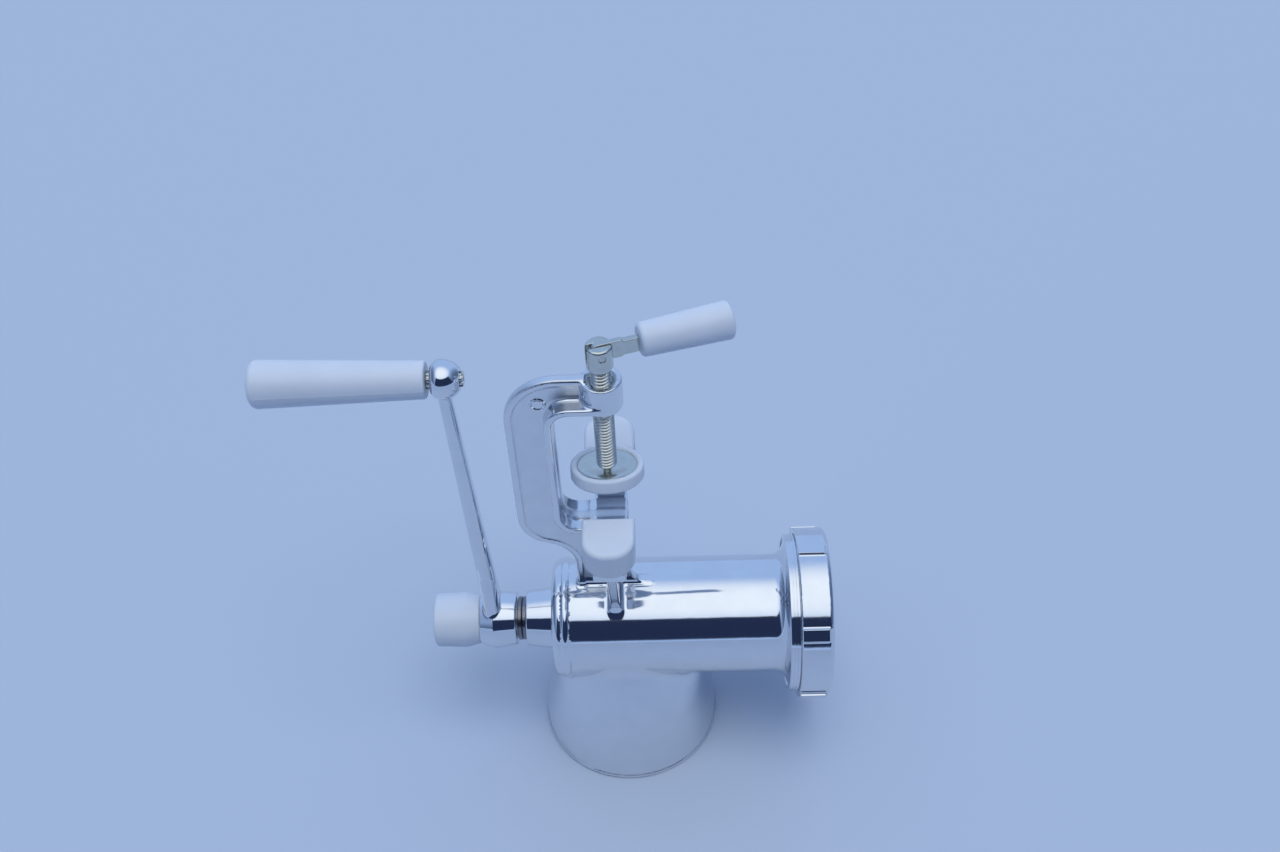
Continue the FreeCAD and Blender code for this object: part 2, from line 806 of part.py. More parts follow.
def make_cross_knife():
    body = new_body("cross_knife", on_barrel)
    at_back = {"z": knife_back}
    disc(body, "Pad", "hub", "YZ_Plane", (0, 0), s.knife_hub_radius, s.knife_thickness, shift=at_back)

    # One blade, with its cutting edge forward at the plate and a bevel behind it
    tip_rise = root(knife_reach * knife_reach - s.blade_width * s.blade_width)
    blade = polygon(body, "Pad", "blade", "YZ_Plane", [
        (-s.blade_lead, 0),
        (s.blade_width - s.blade_lead, 0),
        (s.blade_width - s.blade_lead, tip_rise),
        (-s.blade_lead, tip_rise, knife_reach),
    ], s.knife_thickness, shift=at_back)
    around(body, blade, "X_Axis", s.blade_count)
    reach = knife_reach + s.blade_lead
    bevel = polygon(body, "Pocket", "bevel", "XY_Plane", [
        (knife_back - s.face_gap, s.blade_width),
        (knife_back - s.face_gap, s.blade_width - s.blade_lead - s.blade_width / 2),
        (knife_back + s.knife_thickness / 2, s.blade_width),
    ], reach - s.knife_hub_radius, shift={"z": s.knife_hub_radius}, reverse=True)
    around(body, bevel, "X_Axis", s.blade_count)
    half = s.knife_square / 2 + s.fit_gap
    polygon(body, "Pocket", "square", "YZ_Plane", box_corners(-half, -half, half, half),
            s.knife_thickness, shift=at_back, reverse=True)
    return body


def make_hole_plate():
    body = new_body("hole_plate", on_barrel)
    at_back = {"z": plate_back}
    radius = s.chamber_radius - s.plate_gap
    disc(body, "Pad", "disc", "YZ_Plane", (0, 0), radius, s.plate_thickness, shift=at_back)
    disc(body, "Pocket", "journal", "YZ_Plane", (0, 0), s.plate_journal + s.fit_gap,
         s.plate_thickness, shift=at_back, reverse=True)
    disc(body, "Pocket", "key_notch", "YZ_Plane", (0, s.chamber_radius), s.key_radius + s.face_gap,
         s.plate_thickness, shift=at_back, reverse=True)
    rings = (
        ("ring_one", s.ring_one_radius, s.ring_one_count),
        ("ring_two", ring_two_radius, s.ring_two_count),
        ("ring_three", ring_three_radius, s.ring_three_count),
    )
    for name, ring_radius, count in rings:
        hole = disc(body, "Pocket", name, "YZ_Plane", (ring_radius, 0), s.plate_hole,
                    s.plate_thickness, shift=at_back, reverse=True)
        around(body, hole, "X_Axis", count)
    return body


def make_key_pin():
    body = new_body("plate_key_pin", on_barrel)
    disc(body, "Pad", "pin", "YZ_Plane", (0, s.chamber_radius), s.key_radius,
         s.key_length - s.face_gap, shift={"z": spigot_end}, reverse=True)
    return body


def make_ring_nut():
    body = new_body("ring_nut", on_barrel, (1, 0, 0), s.nut_rib_angle)
    bore = spigot_radius + s.face_gap
    back = flange_end + s.face_gap
    front = plate_front + s.nut_lip
    turn_profile(body, "Revolution", "ring", "XZ_Plane", "H_Axis", [
        (back, bore),
        (plate_front, bore),
        (plate_front, nut_mouth),
        (front, nut_mouth),
        (front, nut_radius - s.nut_round),
        (front - s.nut_round, nut_radius, s.nut_round),
        (back, nut_radius),
    ])
    rib_top = nut_radius + s.nut_rib_proud
    rib_low = nut_radius - s.nut_round / 2
    half = s.nut_rib_width / 2
    rib = polygon(body, "Pad", "rib", "YZ_Plane", box_corners(rib_low, -half, rib_top, half),
                  front - s.nut_round - back, shift={"z": back})
    around(body, rib, "X_Axis", s.nut_rib_count)
    return body


def make_crank_arm():
    body = new_body("crank_arm", on_barrel, (1, 0, 0), crank_turn)
    belly = hub_seat - s.hub_belly
    turn_profile(body, "Revolution", "hub", "XZ_Plane", "H_Axis", [
        (hub_end, 0),
        (hub_seat, 0),
        (hub_seat, s.hub_front_radius),
        (belly, s.hub_belly_radius),
        (hub_end, s.hub_back_radius),
    ])

    # Tapered rod, leaning outwards, whose root spreads over the hub
    rod_length = s.crank_radius / cosine(s.crank_lean)
    root_top = s.hub_belly_radius + s.rod_flare
    turn_profile(body, "Revolution", "rod", "XZ_Plane", "V_Axis", [
        (0, root_top - s.root_bite),
        (s.rod_base_radius, root_top - s.root_bite),
        (s.rod_tip_radius, rod_length),
        (0, rod_length),
    ], shift={"x": belly}, turn=s.crank_lean)
    lean_rate = sine(s.crank_lean) / cosine(s.crank_lean)
    collar = s.rod_base_radius + s.root_ledge
    sections = []
    for name, height, thickness, span, corner in (
        ("root_low", s.root_bite, s.root_thickness / 2, s.root_span / 2, s.root_corner),
        ("root_high", root_top, collar, collar, s.rod_base_radius - s.root_ledge),
    ):
        sketch = new_sketch(body, name, "XY_Plane", {"x": belly - height * lean_rate, "z": height})
        draw(sketch, rounded_box(thickness, span, corner))
        sections.append(sketch)
    spread = body.newObject("PartDesign::AdditiveLoft", "crank_arm_spread")
    spread.Profile = sections[0]
    spread.Sections = sections[1:]
    spread.Ruled = True
    eye_front = eye_middle + s.eye_belly
    turn_profile(body, "Revolution", "eye", "XZ_Plane", "H_Axis", [
        (eye_back, 0),
        (eye_front, 0),
        (eye_front, s.eye_front_radius),
        (eye_middle, s.eye_radius, s.eye_front_curve),
        (eye_back, s.eye_back_radius, s.eye_back_curve),
    ], shift={"y": s.crank_radius})
    half = s.square_flat / 2 + s.fit_gap
    polygon(body, "Pocket", "square", "YZ_Plane", box_corners(-half, -half, half, half),
            s.hub_length, shift={"z": hub_end}, reverse=True)
    disc(body, "Pocket", "spindle_hole", "YZ_Plane", (0, s.crank_radius), s.spindle_radius + s.fit_gap,
         s.eye_length * 2, symmetric=True, shift={"z": eye_middle})
    return body


def make_grip_spindle():
    body = new_body("grip_spindle", on_barrel, (1, 0, 0), crank_turn)
    eye_front = eye_middle + s.eye_belly
    rivet_end = eye_front + s.spindle_rivet
    turn_profile(body, "Revolution", "pin", "XZ_Plane", "H_Axis", [
        (spindle_end, 0),
        (rivet_end, 0),
        (rivet_end, spindle_rivet_radius),
        (eye_front, spindle_rivet_radius),
        (eye_front, s.spindle_radius),
        (eye_back, s.spindle_radius),
        (eye_back, spindle_collar_radius),
        (collar_end, spindle_collar_radius),
        (collar_end, s.spindle_radius),
        (barb_start, s.spindle_radius),
        (barb_start, spindle_collar_radius),
        (spindle_end, s.spindle_radius),
    ], shift={"y": s.crank_radius})
    return body


def make_crank_grip():
    body = new_body("crank_grip", on_barrel, (1, 0, 0), crank_turn)
    start = collar_end - s.face_gap
    end = start - s.grip_length
    bore = s.spindle_radius + s.fit_gap
    pocket = spindle_collar_radius + s.face_gap
    turn_profile(body, "Revolution", "handle", "XZ_Plane", "H_Axis", [
        (start, bore),
        (start, s.grip_inner_radius - s.grip_inner_edge),
        (start - s.grip_inner_edge, s.grip_inner_radius, s.grip_inner_edge),
        (end + s.grip_outer_edge, s.grip_outer_radius),
        (end, s.grip_outer_radius - s.grip_outer_edge, s.grip_outer_edge),
        (end, 0),
        (spindle_end - s.face_gap, 0),
        (spindle_end - s.face_gap, pocket),
        (barb_start + s.face_gap, pocket),
        (barb_start + s.face_gap, bore),
    ], shift={"y": s.crank_radius})
    return body


def make_thumb_knob():
    body = new_body("thumb_knob", on_barrel)
    end = hub_end - s.knob_length
    end_radius = s.knob_radius - s.knob_taper
    bore = s.stud_radius + s.fit_gap
    head_end = hub_end - s.stud_head - s.fit_gap
    head_start = hub_end - s.stud_head + s.stud_head_length + s.fit_gap
    turn_profile(body, "Revolution", "handle", "XZ_Plane", "H_Axis", [
        (hub_end, bore),
        (hub_end, s.knob_collar_radius),
        (hub_end - s.knob_collar, s.knob_radius),
        (end + s.knob_edge, end_radius),
        (end, end_radius - s.knob_edge, s.knob_edge),
        (end, 0),
        (head_end, 0),
        (head_end, s.stud_head_radius + s.fit_gap),
        (head_start, s.stud_head_radius + s.fit_gap),
        (head_start, bore),
    ])
    return body


def make_thumb_stud():
    body = new_body("thumb_stud", on_barrel)
    head_end = hub_end - s.stud_head
    turn_profile(body, "Revolution", "shank", "XZ_Plane", "H_Axis", [
        (head_end, 0),
        (hub_end + s.stud_reach, 0),
        (hub_end + s.stud_reach, s.stud_radius),
        (head_end + s.stud_head_length, s.stud_radius),
        (head_end + s.stud_head_length, s.stud_head_radius),
        (head_end, s.stud_head_radius),
    ])
    return body


def make_clamp_screw():
    body = new_body("clamp_screw", on_screw, (0, 0, 1), s.lever_azimuth)
    rivet_top = pivot_height - s.rivet_drop
    shoulder = pivot_height + s.pivot_shoulder
    head_top = head_base + s.head_height
    dome_radius = head_radius - s.head_dome
    turn_profile(body, "Revolution", "shank", "XZ_Plane", "V_Axis", [
        (0, rivet_top - s.rivet_thickness),
        (rivet_radius, rivet_top - s.rivet_thickness),
        (rivet_radius, rivet_top),
        (s.pivot_pin_radius, rivet_top),
        (s.pivot_pin_radius, shoulder),
        (s.screw_radius - s.pivot_chamfer, shoulder),
        (s.screw_radius, shoulder + s.pivot_chamfer),
        (s.screw_radius, head_base),
        (head_radius, head_base),
        (head_radius, head_top - s.head_dome),
        (dome_radius, head_top, s.head_dome),
        (0, head_top),
    ])
    half = s.lever_thickness / 2 + s.face_gap
    polygon(body, "Pocket", "slot", "XZ_Plane", box_corners(
        -head_radius - s.head_dome, slot_base, head_radius + s.head_dome, head_top + s.head_dome,
    ), half * 2, symmetric=True)
    disc(body, "Pocket", "pin_hole", "XZ_Plane", (0, lever_height), s.lever_pin_radius + s.fit_gap,
         head_radius * 3, symmetric=True)
    return body


def make_lever_pin():
    body = new_body("lever_pin", on_screw, (0, 0, 1), s.lever_azimuth)
    chord = root(head_radius * head_radius - s.lever_pin_radius * s.lever_pin_radius)
    disc(body, "Pad", "pin", "XZ_Plane", (0, lever_height), s.lever_pin_radius, chord * 2, symmetric=True)
    return body


def make_clamp_lever():
    body = new_body("clamp_lever", on_screw, (0, 0, 1), s.lever_azimuth)
    low = lever_height - s.lever_eye
    high = lever_height + s.lever_eye
    bar_low = lever_height - s.lever_bar / 2
    bar_high = lever_height + s.lever_bar / 2
    polygon(body, "Pad", "bar", "XZ_Plane", [
        (-s.lever_eye, lever_height, -s.lever_eye),
        (0, high, -s.lever_eye),
        (s.lever_step, high),
        (s.lever_step, bar_high),
        (s.lever_reach, bar_high),
        (s.lever_reach, bar_low),
        (s.lever_step, bar_low),
        (s.lever_step, low),
        (0, low),
    ], s.lever_thickness, symmetric=True)
    disc(body, "Pocket", "pin_hole", "XZ_Plane", (0, lever_height), s.lever_pin_radius + s.fit_gap,
         s.lever_thickness * 2, symmetric=True)
    return body


def make_lever_grip():
    body = new_body("lever_grip", on_screw, (0, 0, 1), s.lever_azimuth)
    start = s.lever_grip_start
    end = start + s.lever_grip_length
    turn_profile(body, "Revolution", "handle", "XZ_Plane", "H_Axis", [
        (start, 0),
        (end, 0),
        (end, s.lever_grip_outer - s.lever_grip_edge),
        (end - s.lever_grip_edge, s.lever_grip_outer, s.lever_grip_edge),
        (start + s.lever_grip_edge, s.lever_grip_inner),
        (start, s.lever_grip_inner - s.lever_grip_edge, s.lever_grip_edge),
    ], shift={"y": lever_height + s.lever_grip_rise})
    half_u = s.lever_thickness / 2 + s.fit_gap
    half_v = s.lever_bar / 2 + s.fit_gap
    polygon(body, "Pocket", "tang", "YZ_Plane", box_corners(
        -half_u, lever_height - half_v, half_u, lever_height + half_v,
    ), s.lever_reach + s.fit_gap - start, shift={"z": start}, reverse=True)
    return body


on_pivot = {"x": clamp_x, "z": pivot_height}
dish_base = -s.dish_plate / 2
dish_rim = s.dish_rise - dish_base


def make_pad_dish():
    body = new_body("pad_dish", on_pivot, (1, 0, 0), -s.pad_tilt)
    rim_start = s.dish_radius - s.dish_ledge
    turn_profile(body, "Revolution", "dish", "XZ_Plane", "V_Axis", [
        (dish_hole, dish_base),
        (s.dish_flat, dish_base),
        (rim_start, dish_rim - s.dish_plate),
        (s.dish_radius, dish_rim - s.dish_plate),
        (s.dish_radius, dish_rim),
        (rim_start, dish_rim),
        (s.dish_flat, -dish_base),
        (dish_hole, -dish_base),
    ])
    return body


def make_pad_cap():
    body = new_body("pad_cap", on_pivot, (1, 0, 0), -s.pad_tilt)
    seat = s.dish_radius + s.fit_gap
    ledge = s.dish_radius - s.dish_ledge
    ledge_top = dish_rim - s.dish_plate - s.fit_gap
    turn_profile(body, "Revolution", "cup", "XZ_Plane", "V_Axis", [
        (0, -s.pad_depth),
        (pad_radius - s.pad_edge, -s.pad_depth),
        (pad_radius, s.pad_edge - s.pad_depth, s.pad_edge),
        (pad_radius, s.pad_rim - s.pad_edge),
        (pad_radius - s.pad_edge, s.pad_rim, s.pad_edge),
        (seat, s.pad_rim),
        (seat, ledge_top),
        (ledge, ledge_top),
        (s.dish_flat, dish_base - s.face_gap),
        (s.dish_flat, s.pad_floor - s.pad_depth),
        (0, s.pad_floor - s.pad_depth),
    ])
    return body


bodies = [
    make_casting(),
    make_foot_cap("foot_cap_front", -1),
    make_foot_cap("foot_cap_rear", 1),
    make_shaft_bush(),
    make_thrust_washer(),
    make_feed_screw(),
    make_knife_stud(),
    make_cross_knife(),
    make_hole_plate(),
    make_key_pin(),
    make_ring_nut(),
    make_crank_arm(),
    make_grip_spindle(),
    make_crank_grip(),
    make_thumb_knob(),
    make_thumb_stud(),
    make_clamp_screw(),
    make_lever_pin(),
    make_clamp_lever(),
    make_lever_grip(),
    make_pad_dish(),
    make_pad_cap(),
]
doc.recompute()

# Nothing is written unless every object is sound and every cut has cut
for item in doc.Objects:
    if {"Invalid", "Error"} & set(item.State):
        raise SystemExit(f"{item.Name}: {item.State}")
    if item.TypeId in ("PartDesign::Pocket", "PartDesign::Groove"):
        if item.Shape.Volume >= item.BaseFeature.Shape.Volume:
            raise SystemExit(f"{item.Name} cuts nothing")
for body in bodies:
    if body.Shape.isNull() or not body.Shape.isValid() or len(body.Shape.Solids) != 1:
        raise SystemExit(f"{body.Label} is not one sound solid")

os.makedirs("parts", exist_ok=True)
for body in bodies:
    body.Shape.exportStep(f"parts/{body.Label}.step")
    box = body.Shape.BoundBox
    print(f"{body.Label:16s} x {box.XMin:7.2f} {box.XMax:7.2f}  y {box.YMin:7.2f} {box.YMax:7.2f}  "
          f"z {box.ZMin:7.2f} {box.ZMax:7.2f}  volume {body.Shape.Volume:9.0f}")
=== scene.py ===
import bpy
import numpy as np
from itertools import product
from math import asin, atan2, ceil, copysign, cos, hypot, pi, radians, sin, sqrt, tan
from mathutils import Matrix


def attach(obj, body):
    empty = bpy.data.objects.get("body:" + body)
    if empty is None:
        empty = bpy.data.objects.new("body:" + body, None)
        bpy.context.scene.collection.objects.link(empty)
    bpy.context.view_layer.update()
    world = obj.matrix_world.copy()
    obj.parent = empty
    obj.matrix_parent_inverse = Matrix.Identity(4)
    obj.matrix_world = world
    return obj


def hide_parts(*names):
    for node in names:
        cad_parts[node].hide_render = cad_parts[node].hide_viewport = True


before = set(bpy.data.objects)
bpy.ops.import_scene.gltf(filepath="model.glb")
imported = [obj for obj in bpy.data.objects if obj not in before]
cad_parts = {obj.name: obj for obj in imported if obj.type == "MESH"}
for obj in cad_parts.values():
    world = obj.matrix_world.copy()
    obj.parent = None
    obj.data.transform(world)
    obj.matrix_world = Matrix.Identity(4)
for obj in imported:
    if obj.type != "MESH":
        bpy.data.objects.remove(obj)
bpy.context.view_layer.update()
mm = 0.001
print("frame loaded:", len(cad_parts), "nodes")

# How the meshes are made: lengths in cells of the grid, angles in degrees
meshing = {
    "before": 1.5, "after": 2.5, "slopeStep": 0.04, "flattest": 0.3, "firstTurns": 2, "lastTurns": 3,
    "sharpFrom": 35, "arcStep": 7, "weldWithin": 0.01 * mm, "onAxis": 1e-6,
}


# Outlines are lists of corners in mm: (u, v), or (u, v, radius) where an arc leads to the corner.
# A positive radius bends anticlockwise.
def arcCentre(start, end):
    du, dv = end[0] - start[0], end[1] - start[1]
    chord = hypot(du, dv)
    lift = copysign(sqrt(max(end[2] ** 2 - chord ** 2 / 4, 0)), end[2]) / chord
    return (start[0] + end[0]) / 2 - dv * lift, (start[1] + end[1]) / 2 + du * lift


def outlineGap(u, v, corners):
    # signed distance to an outline, negative inside
    gap, inside = np.inf, False
    for start, end in zip(corners[-1:] + corners[:-1], corners):
        u0, v0, u1, v1 = *start[:2], *end[:2]
        du, dv = u1 - u0, v1 - v0
        chord = hypot(du, dv)
        if dv:
            inside = inside ^ (((v0 > v) != (v1 > v)) & (u < u0 + (v - v0) * du / dv))
        if len(end) == 3:
            cu, cv = arcCentre(start, end)
            radius, side = abs(end[2]), copysign(1, end[2])
            away = np.hypot(u - cu, v - cv)
            bulge = ((u - u0) * dv - (v - v0) * du) * side > 0
            inside = inside ^ (bulge & (away < radius))
            spread = cos(asin(min(chord / 2 / radius, 1)))
            onArc = ((u - cu) * dv - (v - cv) * du) * side / chord > away * spread
            gap = np.minimum(gap, np.where(onArc, np.abs(away - radius), np.inf))
            gap = np.minimum(gap, np.hypot(u - u0, v - v0))
            gap = np.minimum(gap, np.hypot(u - u1, v - v1))
        else:
            along = np.clip(((u - u0) * du + (v - v0) * dv) / chord ** 2, 0, 1)
            gap = np.minimum(gap, np.hypot(u - u0 - along * du, v - v0 - along * dv))
    return np.where(inside, -gap, gap)


def blend(a, b, size):
    # joins two shapes with a fillet of about that size
    h = np.clip(0.5 + 0.5 * (b - a) / size, 0, 1)
    return b + (a - b) * h - size * h * (1 - h)


def carve(a, b, size):
    # cuts shape b out of shape a with a softened edge
    return -blend(-a, b, size)


def slab(gap, across, half, edge):
    # an outline given thickness, with rounded edges
    a, b = gap + edge, np.abs(across) - half + edge
    return np.minimum(np.maximum(a, b), 0) + np.hypot(np.maximum(a, 0), np.maximum(b, 0)) - edge


def mirrored(half):
    return half + [(-u, v) for u, v in reversed(half)]


def buildPiece(name, points, faces, material, place=Matrix(), normals=None,
               sharpFrom=meshing["sharpFrom"]):
    turn = np.array(place)
    mesh = bpy.data.meshes.new(name)
    mesh.from_pydata(((points @ turn[:3, :3].T + turn[:3, 3]) * mm).tolist(), [], faces.tolist())
    mesh.polygons.foreach_set("use_smooth", np.ones(len(mesh.polygons), bool))
    if normals is None:
        mesh.set_sharp_from_angle(angle=radians(sharpFrom))
    else:
        mesh.normals_split_custom_set_from_vertices((normals @ turn[:3, :3].T).tolist())
    mesh.materials.append(material)
    piece = bpy.data.objects.new(name, mesh)
    bpy.context.scene.collection.objects.link(piece)
    return piece


def skin(name, gap, low, high, cell, material, place=Matrix()):
    # a mesh over the surface where gap(x, y, z) is zero: one point per cell that it crosses
    m = meshing
    axes = [np.arange(lo - m["before"] * cell, hi + m["after"] * cell, cell)
            for lo, hi in zip(low, high)]
    solid = gap(*np.meshgrid(*axes, indexing="ij", sparse=True)) < 0
    filled = 0
    for offset in product((0, 1), repeat=3):
        corner = tuple(slice(o, size - 1 + o) for o, size in zip(offset, solid.shape))
        filled = filled + solid[corner].astype(np.int8)
    crossed = (filled > 0) & (filled < 8)
    number = np.full(crossed.shape, -1)
    number[crossed] = np.arange(crossed.sum())
    cells = np.argwhere(crossed)
    points = np.stack([axes[a][cells[:, a]] + cell / 2 for a in range(3)], 1)
    quads = []
    for a in range(3):
        b, c = (a + 1) % 3, (a + 2) % 3
        lower = solid.take(np.arange(solid.shape[a] - 1), axis=a)
        upper = solid.take(np.arange(1, solid.shape[a]), axis=a)
        for leaving, way in ((lower & ~upper, 1), (upper & ~lower, -1)):
            edges = np.argwhere(leaving)
            ring = []
            for db, dc in ((0, 0), (1, 0), (1, 1), (0, 1)):
                near = edges.copy()
                near[:, b] -= db
                near[:, c] -= dc
                ring.append(number[tuple(near.T)])
            quads.append(np.stack(ring[::way], 1))
    quads = np.concatenate(quads)

    def slope(at, here):
        step = cell * m["slopeStep"]
        return np.stack([(gap(*(at + step * e).T) - here) / step for e in np.eye(3)], 1)

    def settle(at, turns):
        for _ in range(turns):
            here = gap(*at.T)
            way = slope(at, here)
            move = (here / np.maximum((way ** 2).sum(1), m["flattest"]))[:, None] * way
            at = at - np.clip(move, -cell, cell)
        return at

    points = settle(points, m["firstTurns"])
    centres = points[quads].mean(1)
    total, count = np.zeros_like(points), np.zeros(len(points))
    for corner in range(4):
        np.add.at(total, quads[:, corner], centres)
        np.add.at(count, quads[:, corner], 1)
    points = settle(total / count[:, None], m["lastTurns"])
    normals = slope(points, gap(*points.T))
    normals /= np.maximum(np.linalg.norm(normals, axis=1), 1e-9)[:, None]
    print(f"{name}: {len(points)} points")
    return buildPiece(name, points, quads, material, place, normals)


def traced(corners):
    # the corners of an outline with its arcs cut into short runs
    points = []
    for start, end in zip(corners[-1:] + corners[:-1], corners):
        if len(end) == 3:
            cu, cv = arcCentre(start, end)
            chord = hypot(end[0] - start[0], end[1] - start[1])
            half = asin(min(chord / 2 / abs(end[2]), 1))
            begin = atan2(start[1] - cv, start[0] - cu)
            runs = max(2, ceil(2 * half / radians(meshing["arcStep"])))
            for k in range(1, runs):
                angle = begin + copysign(2 * half, end[2]) * k / runs
                points.append((cu + abs(end[2]) * cos(angle), cv + abs(end[2]) * sin(angle)))
        points.append(end[:2])
    return np.array(points)


def turned(name, corners, material, place, around, shape=None):
    # a turned piece: corners are (along the axis, radius), the axis is the place's Z
    profile = traced(corners)
    angles = np.arange(around) * 2 * pi / around
    along = np.repeat(profile[:, 0], around)
    radius = np.repeat(profile[:, 1], around)
    angle = np.tile(angles, len(profile))
    if shape:
        radius = shape(along, radius, angle)
    points = np.stack([radius * np.cos(angle), radius * np.sin(angle), along], 1)
    j = np.arange(around)
    after = (j + 1) % around
    faces = []
    for i in range(len(profile)):
        k = (i + 1) % len(profile)
        if max(profile[i, 1], profile[k, 1]) < meshing["onAxis"]:
            continue
        ring, ahead = i * around, k * around
        faces.append(np.stack([ring + j, ring + after, ahead + after, ahead + j], 1))
    piece = buildPiece(name, points, np.concatenate(faces), material, place)
    bpy.context.view_layer.objects.active = piece
    weld = piece.modifiers.new("weld", "WELD")
    weld.merge_threshold = meshing["weldWithin"]
    bpy.ops.object.modifier_apply(modifier="weld")
    piece.data.set_sharp_from_angle(angle=radians(meshing["sharpFrom"]))
    return piece


def add(piece, body):
    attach(piece, body)


def fit(piece, body, slot, *nodes):
    add(piece, body)
    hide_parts(*nodes)


def hexColour(text):
    # sRGB hex to the linear colour that the shaders want
    parts = [int(text[i:i + 2], 16) / 255 for i in (1, 3, 5)]
    return [p / 12.92 if p <= 0.04045 else ((p + 0.055) / 1.055) ** 2.4 for p in parts] + [1.0]


def addNode(tree, kind, inputs=None, **settings):
    node = tree.nodes.new(kind)
    for name, value in settings.items():
        setattr(node, name, value)
    for name, value in (inputs or {}).items():
        if isinstance(value, bpy.types.NodeSocket):
            tree.links.new(value, node.inputs[name])
        else:
            node.inputs[name].default_value = value
    return node


def mixed(tree, share, first, second):
    inputs = {"Factor": share, "A": first, "B": second}
    return addNode(tree, "ShaderNodeMix", inputs, data_type="RGBA").outputs["Result"]


def ranged(tree, value, low, high):
    # 0 to 1 becomes low to high
    inputs = {"Value": value, "To Min": low, "To Max": high}
    return addNode(tree, "ShaderNodeMapRange", inputs).outputs["Result"]


def softStep(tree, value, begin, end):
    # goes from 0 at begin to 1 at end
    inputs = {"Value": value, "From Min": begin, "From Max": end}
    node = addNode(tree, "ShaderNodeMapRange", inputs, interpolation_type="SMOOTHSTEP")
    return node.outputs["Result"]


def maths(tree, operation, *values):
    node = addNode(tree, "ShaderNodeMath", dict(enumerate(values)), operation=operation)
    return node.outputs["Value"]


def noise(tree, size, detail):
    # a pattern that stays on its piece, with marks of that size in mm
    place = addNode(tree, "ShaderNodeTexCoord").outputs["Object"]
    inputs = {"Vector": place, "Scale": 1 / (size * mm), "Detail": detail}
    return addNode(tree, "ShaderNodeTexNoise", inputs).outputs["Fac"]


# Materials
def newMaterial(name):
    material = bpy.data.materials.new(name)
    material.use_nodes = True
    return material, material.node_tree, material.node_tree.nodes["Principled BSDF"]


def makeMetal(name, light, dark, rough, roughSatin, waves, grain):
    # waves and grain are (size in mm, height in mm) of the slow unevenness and of the fine marks
    s = {"waveDetail": 2.0, "grainDetail": 4.0, "polishRange": (0.75, 1.3), "grainRange": (0.3, 1.0)}
    material, tree, shader = newMaterial(name)
    slow = noise(tree, waves[0], s["waveDetail"])
    fine = noise(tree, grain[0], s["grainDetail"])
    tint = mixed(tree, slow, hexColour(dark), hexColour(light))
    satin = addNode(tree, "ShaderNodeAttribute", attribute_name="satin").outputs["Fac"]
    spread = ranged(tree, satin, rough, roughSatin)
    polish = maths(tree, "MULTIPLY", spread, ranged(tree, fine, *s["polishRange"]))
    swell = addNode(tree, "ShaderNodeBump", {"Height": slow, "Distance": waves[1] * mm})
    marks = addNode(tree, "ShaderNodeBump", {
        "Height": fine, "Distance": grain[1] * mm, "Normal": swell.outputs["Normal"],
        "Strength": ranged(tree, satin, *s["grainRange"]),
    })
    tree.links.new(tint, shader.inputs["Base Color"])
    tree.links.new(polish, shader.inputs["Roughness"])
    tree.links.new(marks.outputs["Normal"], shader.inputs["Normal"])
    shader.inputs["Metallic"].default_value = 1.0
    return material


def makePlastic(name, light, dark, rough, glow):
    s = {"cloudSize": 14, "markSize": 0.9, "markHeight": 0.012, "detail": 3.0,
         "polishRange": (-0.07, 0.08), "ior": 1.51, "glowRadius": (1.0, 1.1, 1.3), "glowDepth": 2.5}
    material, tree, shader = newMaterial(name)
    cloud = noise(tree, s["cloudSize"], s["detail"])
    tint = mixed(tree, cloud, hexColour(dark), hexColour(light))
    polish = ranged(tree, cloud, *(rough + change for change in s["polishRange"]))
    marks = addNode(tree, "ShaderNodeBump", {
        "Height": noise(tree, s["markSize"], s["detail"]), "Distance": s["markHeight"] * mm,
    })
    tree.links.new(tint, shader.inputs["Base Color"])
    tree.links.new(polish, shader.inputs["Roughness"])
    tree.links.new(marks.outputs["Normal"], shader.inputs["Normal"])
    shader.inputs["IOR"].default_value = s["ior"]
    shader.inputs["Subsurface Weight"].default_value = glow
    shader.inputs["Subsurface Radius"].default_value = s["glowRadius"]
    shader.inputs["Subsurface Scale"].default_value = s["glowDepth"] * mm
    return material


# die cast aluminium, buffed bright outside: mirror-like with slow waves, satin where the wheel can't reach
castAluminium = makeMetal("buffedDieCastAluminium", "#E9ECF0", "#DCE0E6", 0.075, 0.34,
                          (9.0, 0.035), (0.7, 0.012))
# cast aluminium tumbled with stones: dull, soft sheen
tumbledAluminium = makeMetal("tumbledAluminium", "#C4C7CC", "#AEB2B8", 0.38, 0.38,
                             (6.0, 0.05), (0.6, 0.01))
# bright zinc plate on drawn steel: slightly warm and cloudy
zincSteel = makeMetal("zincPlatedSteel", "#D9DBD5", "#C3C7C1", 0.17, 0.17, (3.0, 0.012), (0.4, 0.004))
# ground tool steel: grey with fine marks
toolSteel = makeMetal("groundToolSteel", "#A9ADB2", "#94989E", 0.3, 0.3, (5.0, 0.01), (0.35, 0.008))
# turned sintered bronze: oiled dark grey, bright in narrow rings
bushBronze = makeMetal("turnedBronze", "#95949A", "#737279", 0.25, 0.25, (2.0, 0.01), (0.3, 0.006))
# natural polyethylene, moulded: milky white, soft gloss
polyethylene = makePlastic("mouldedPolyethylene", "#CCD6E3", "#C3CEDD", 0.36, 0.35)
# moulded nylon: off-white and matt
nylon = makePlastic("mouldedNylon", "#E8E6DD", "#DAD7CC", 0.5, 0.15)
print("materials ready")

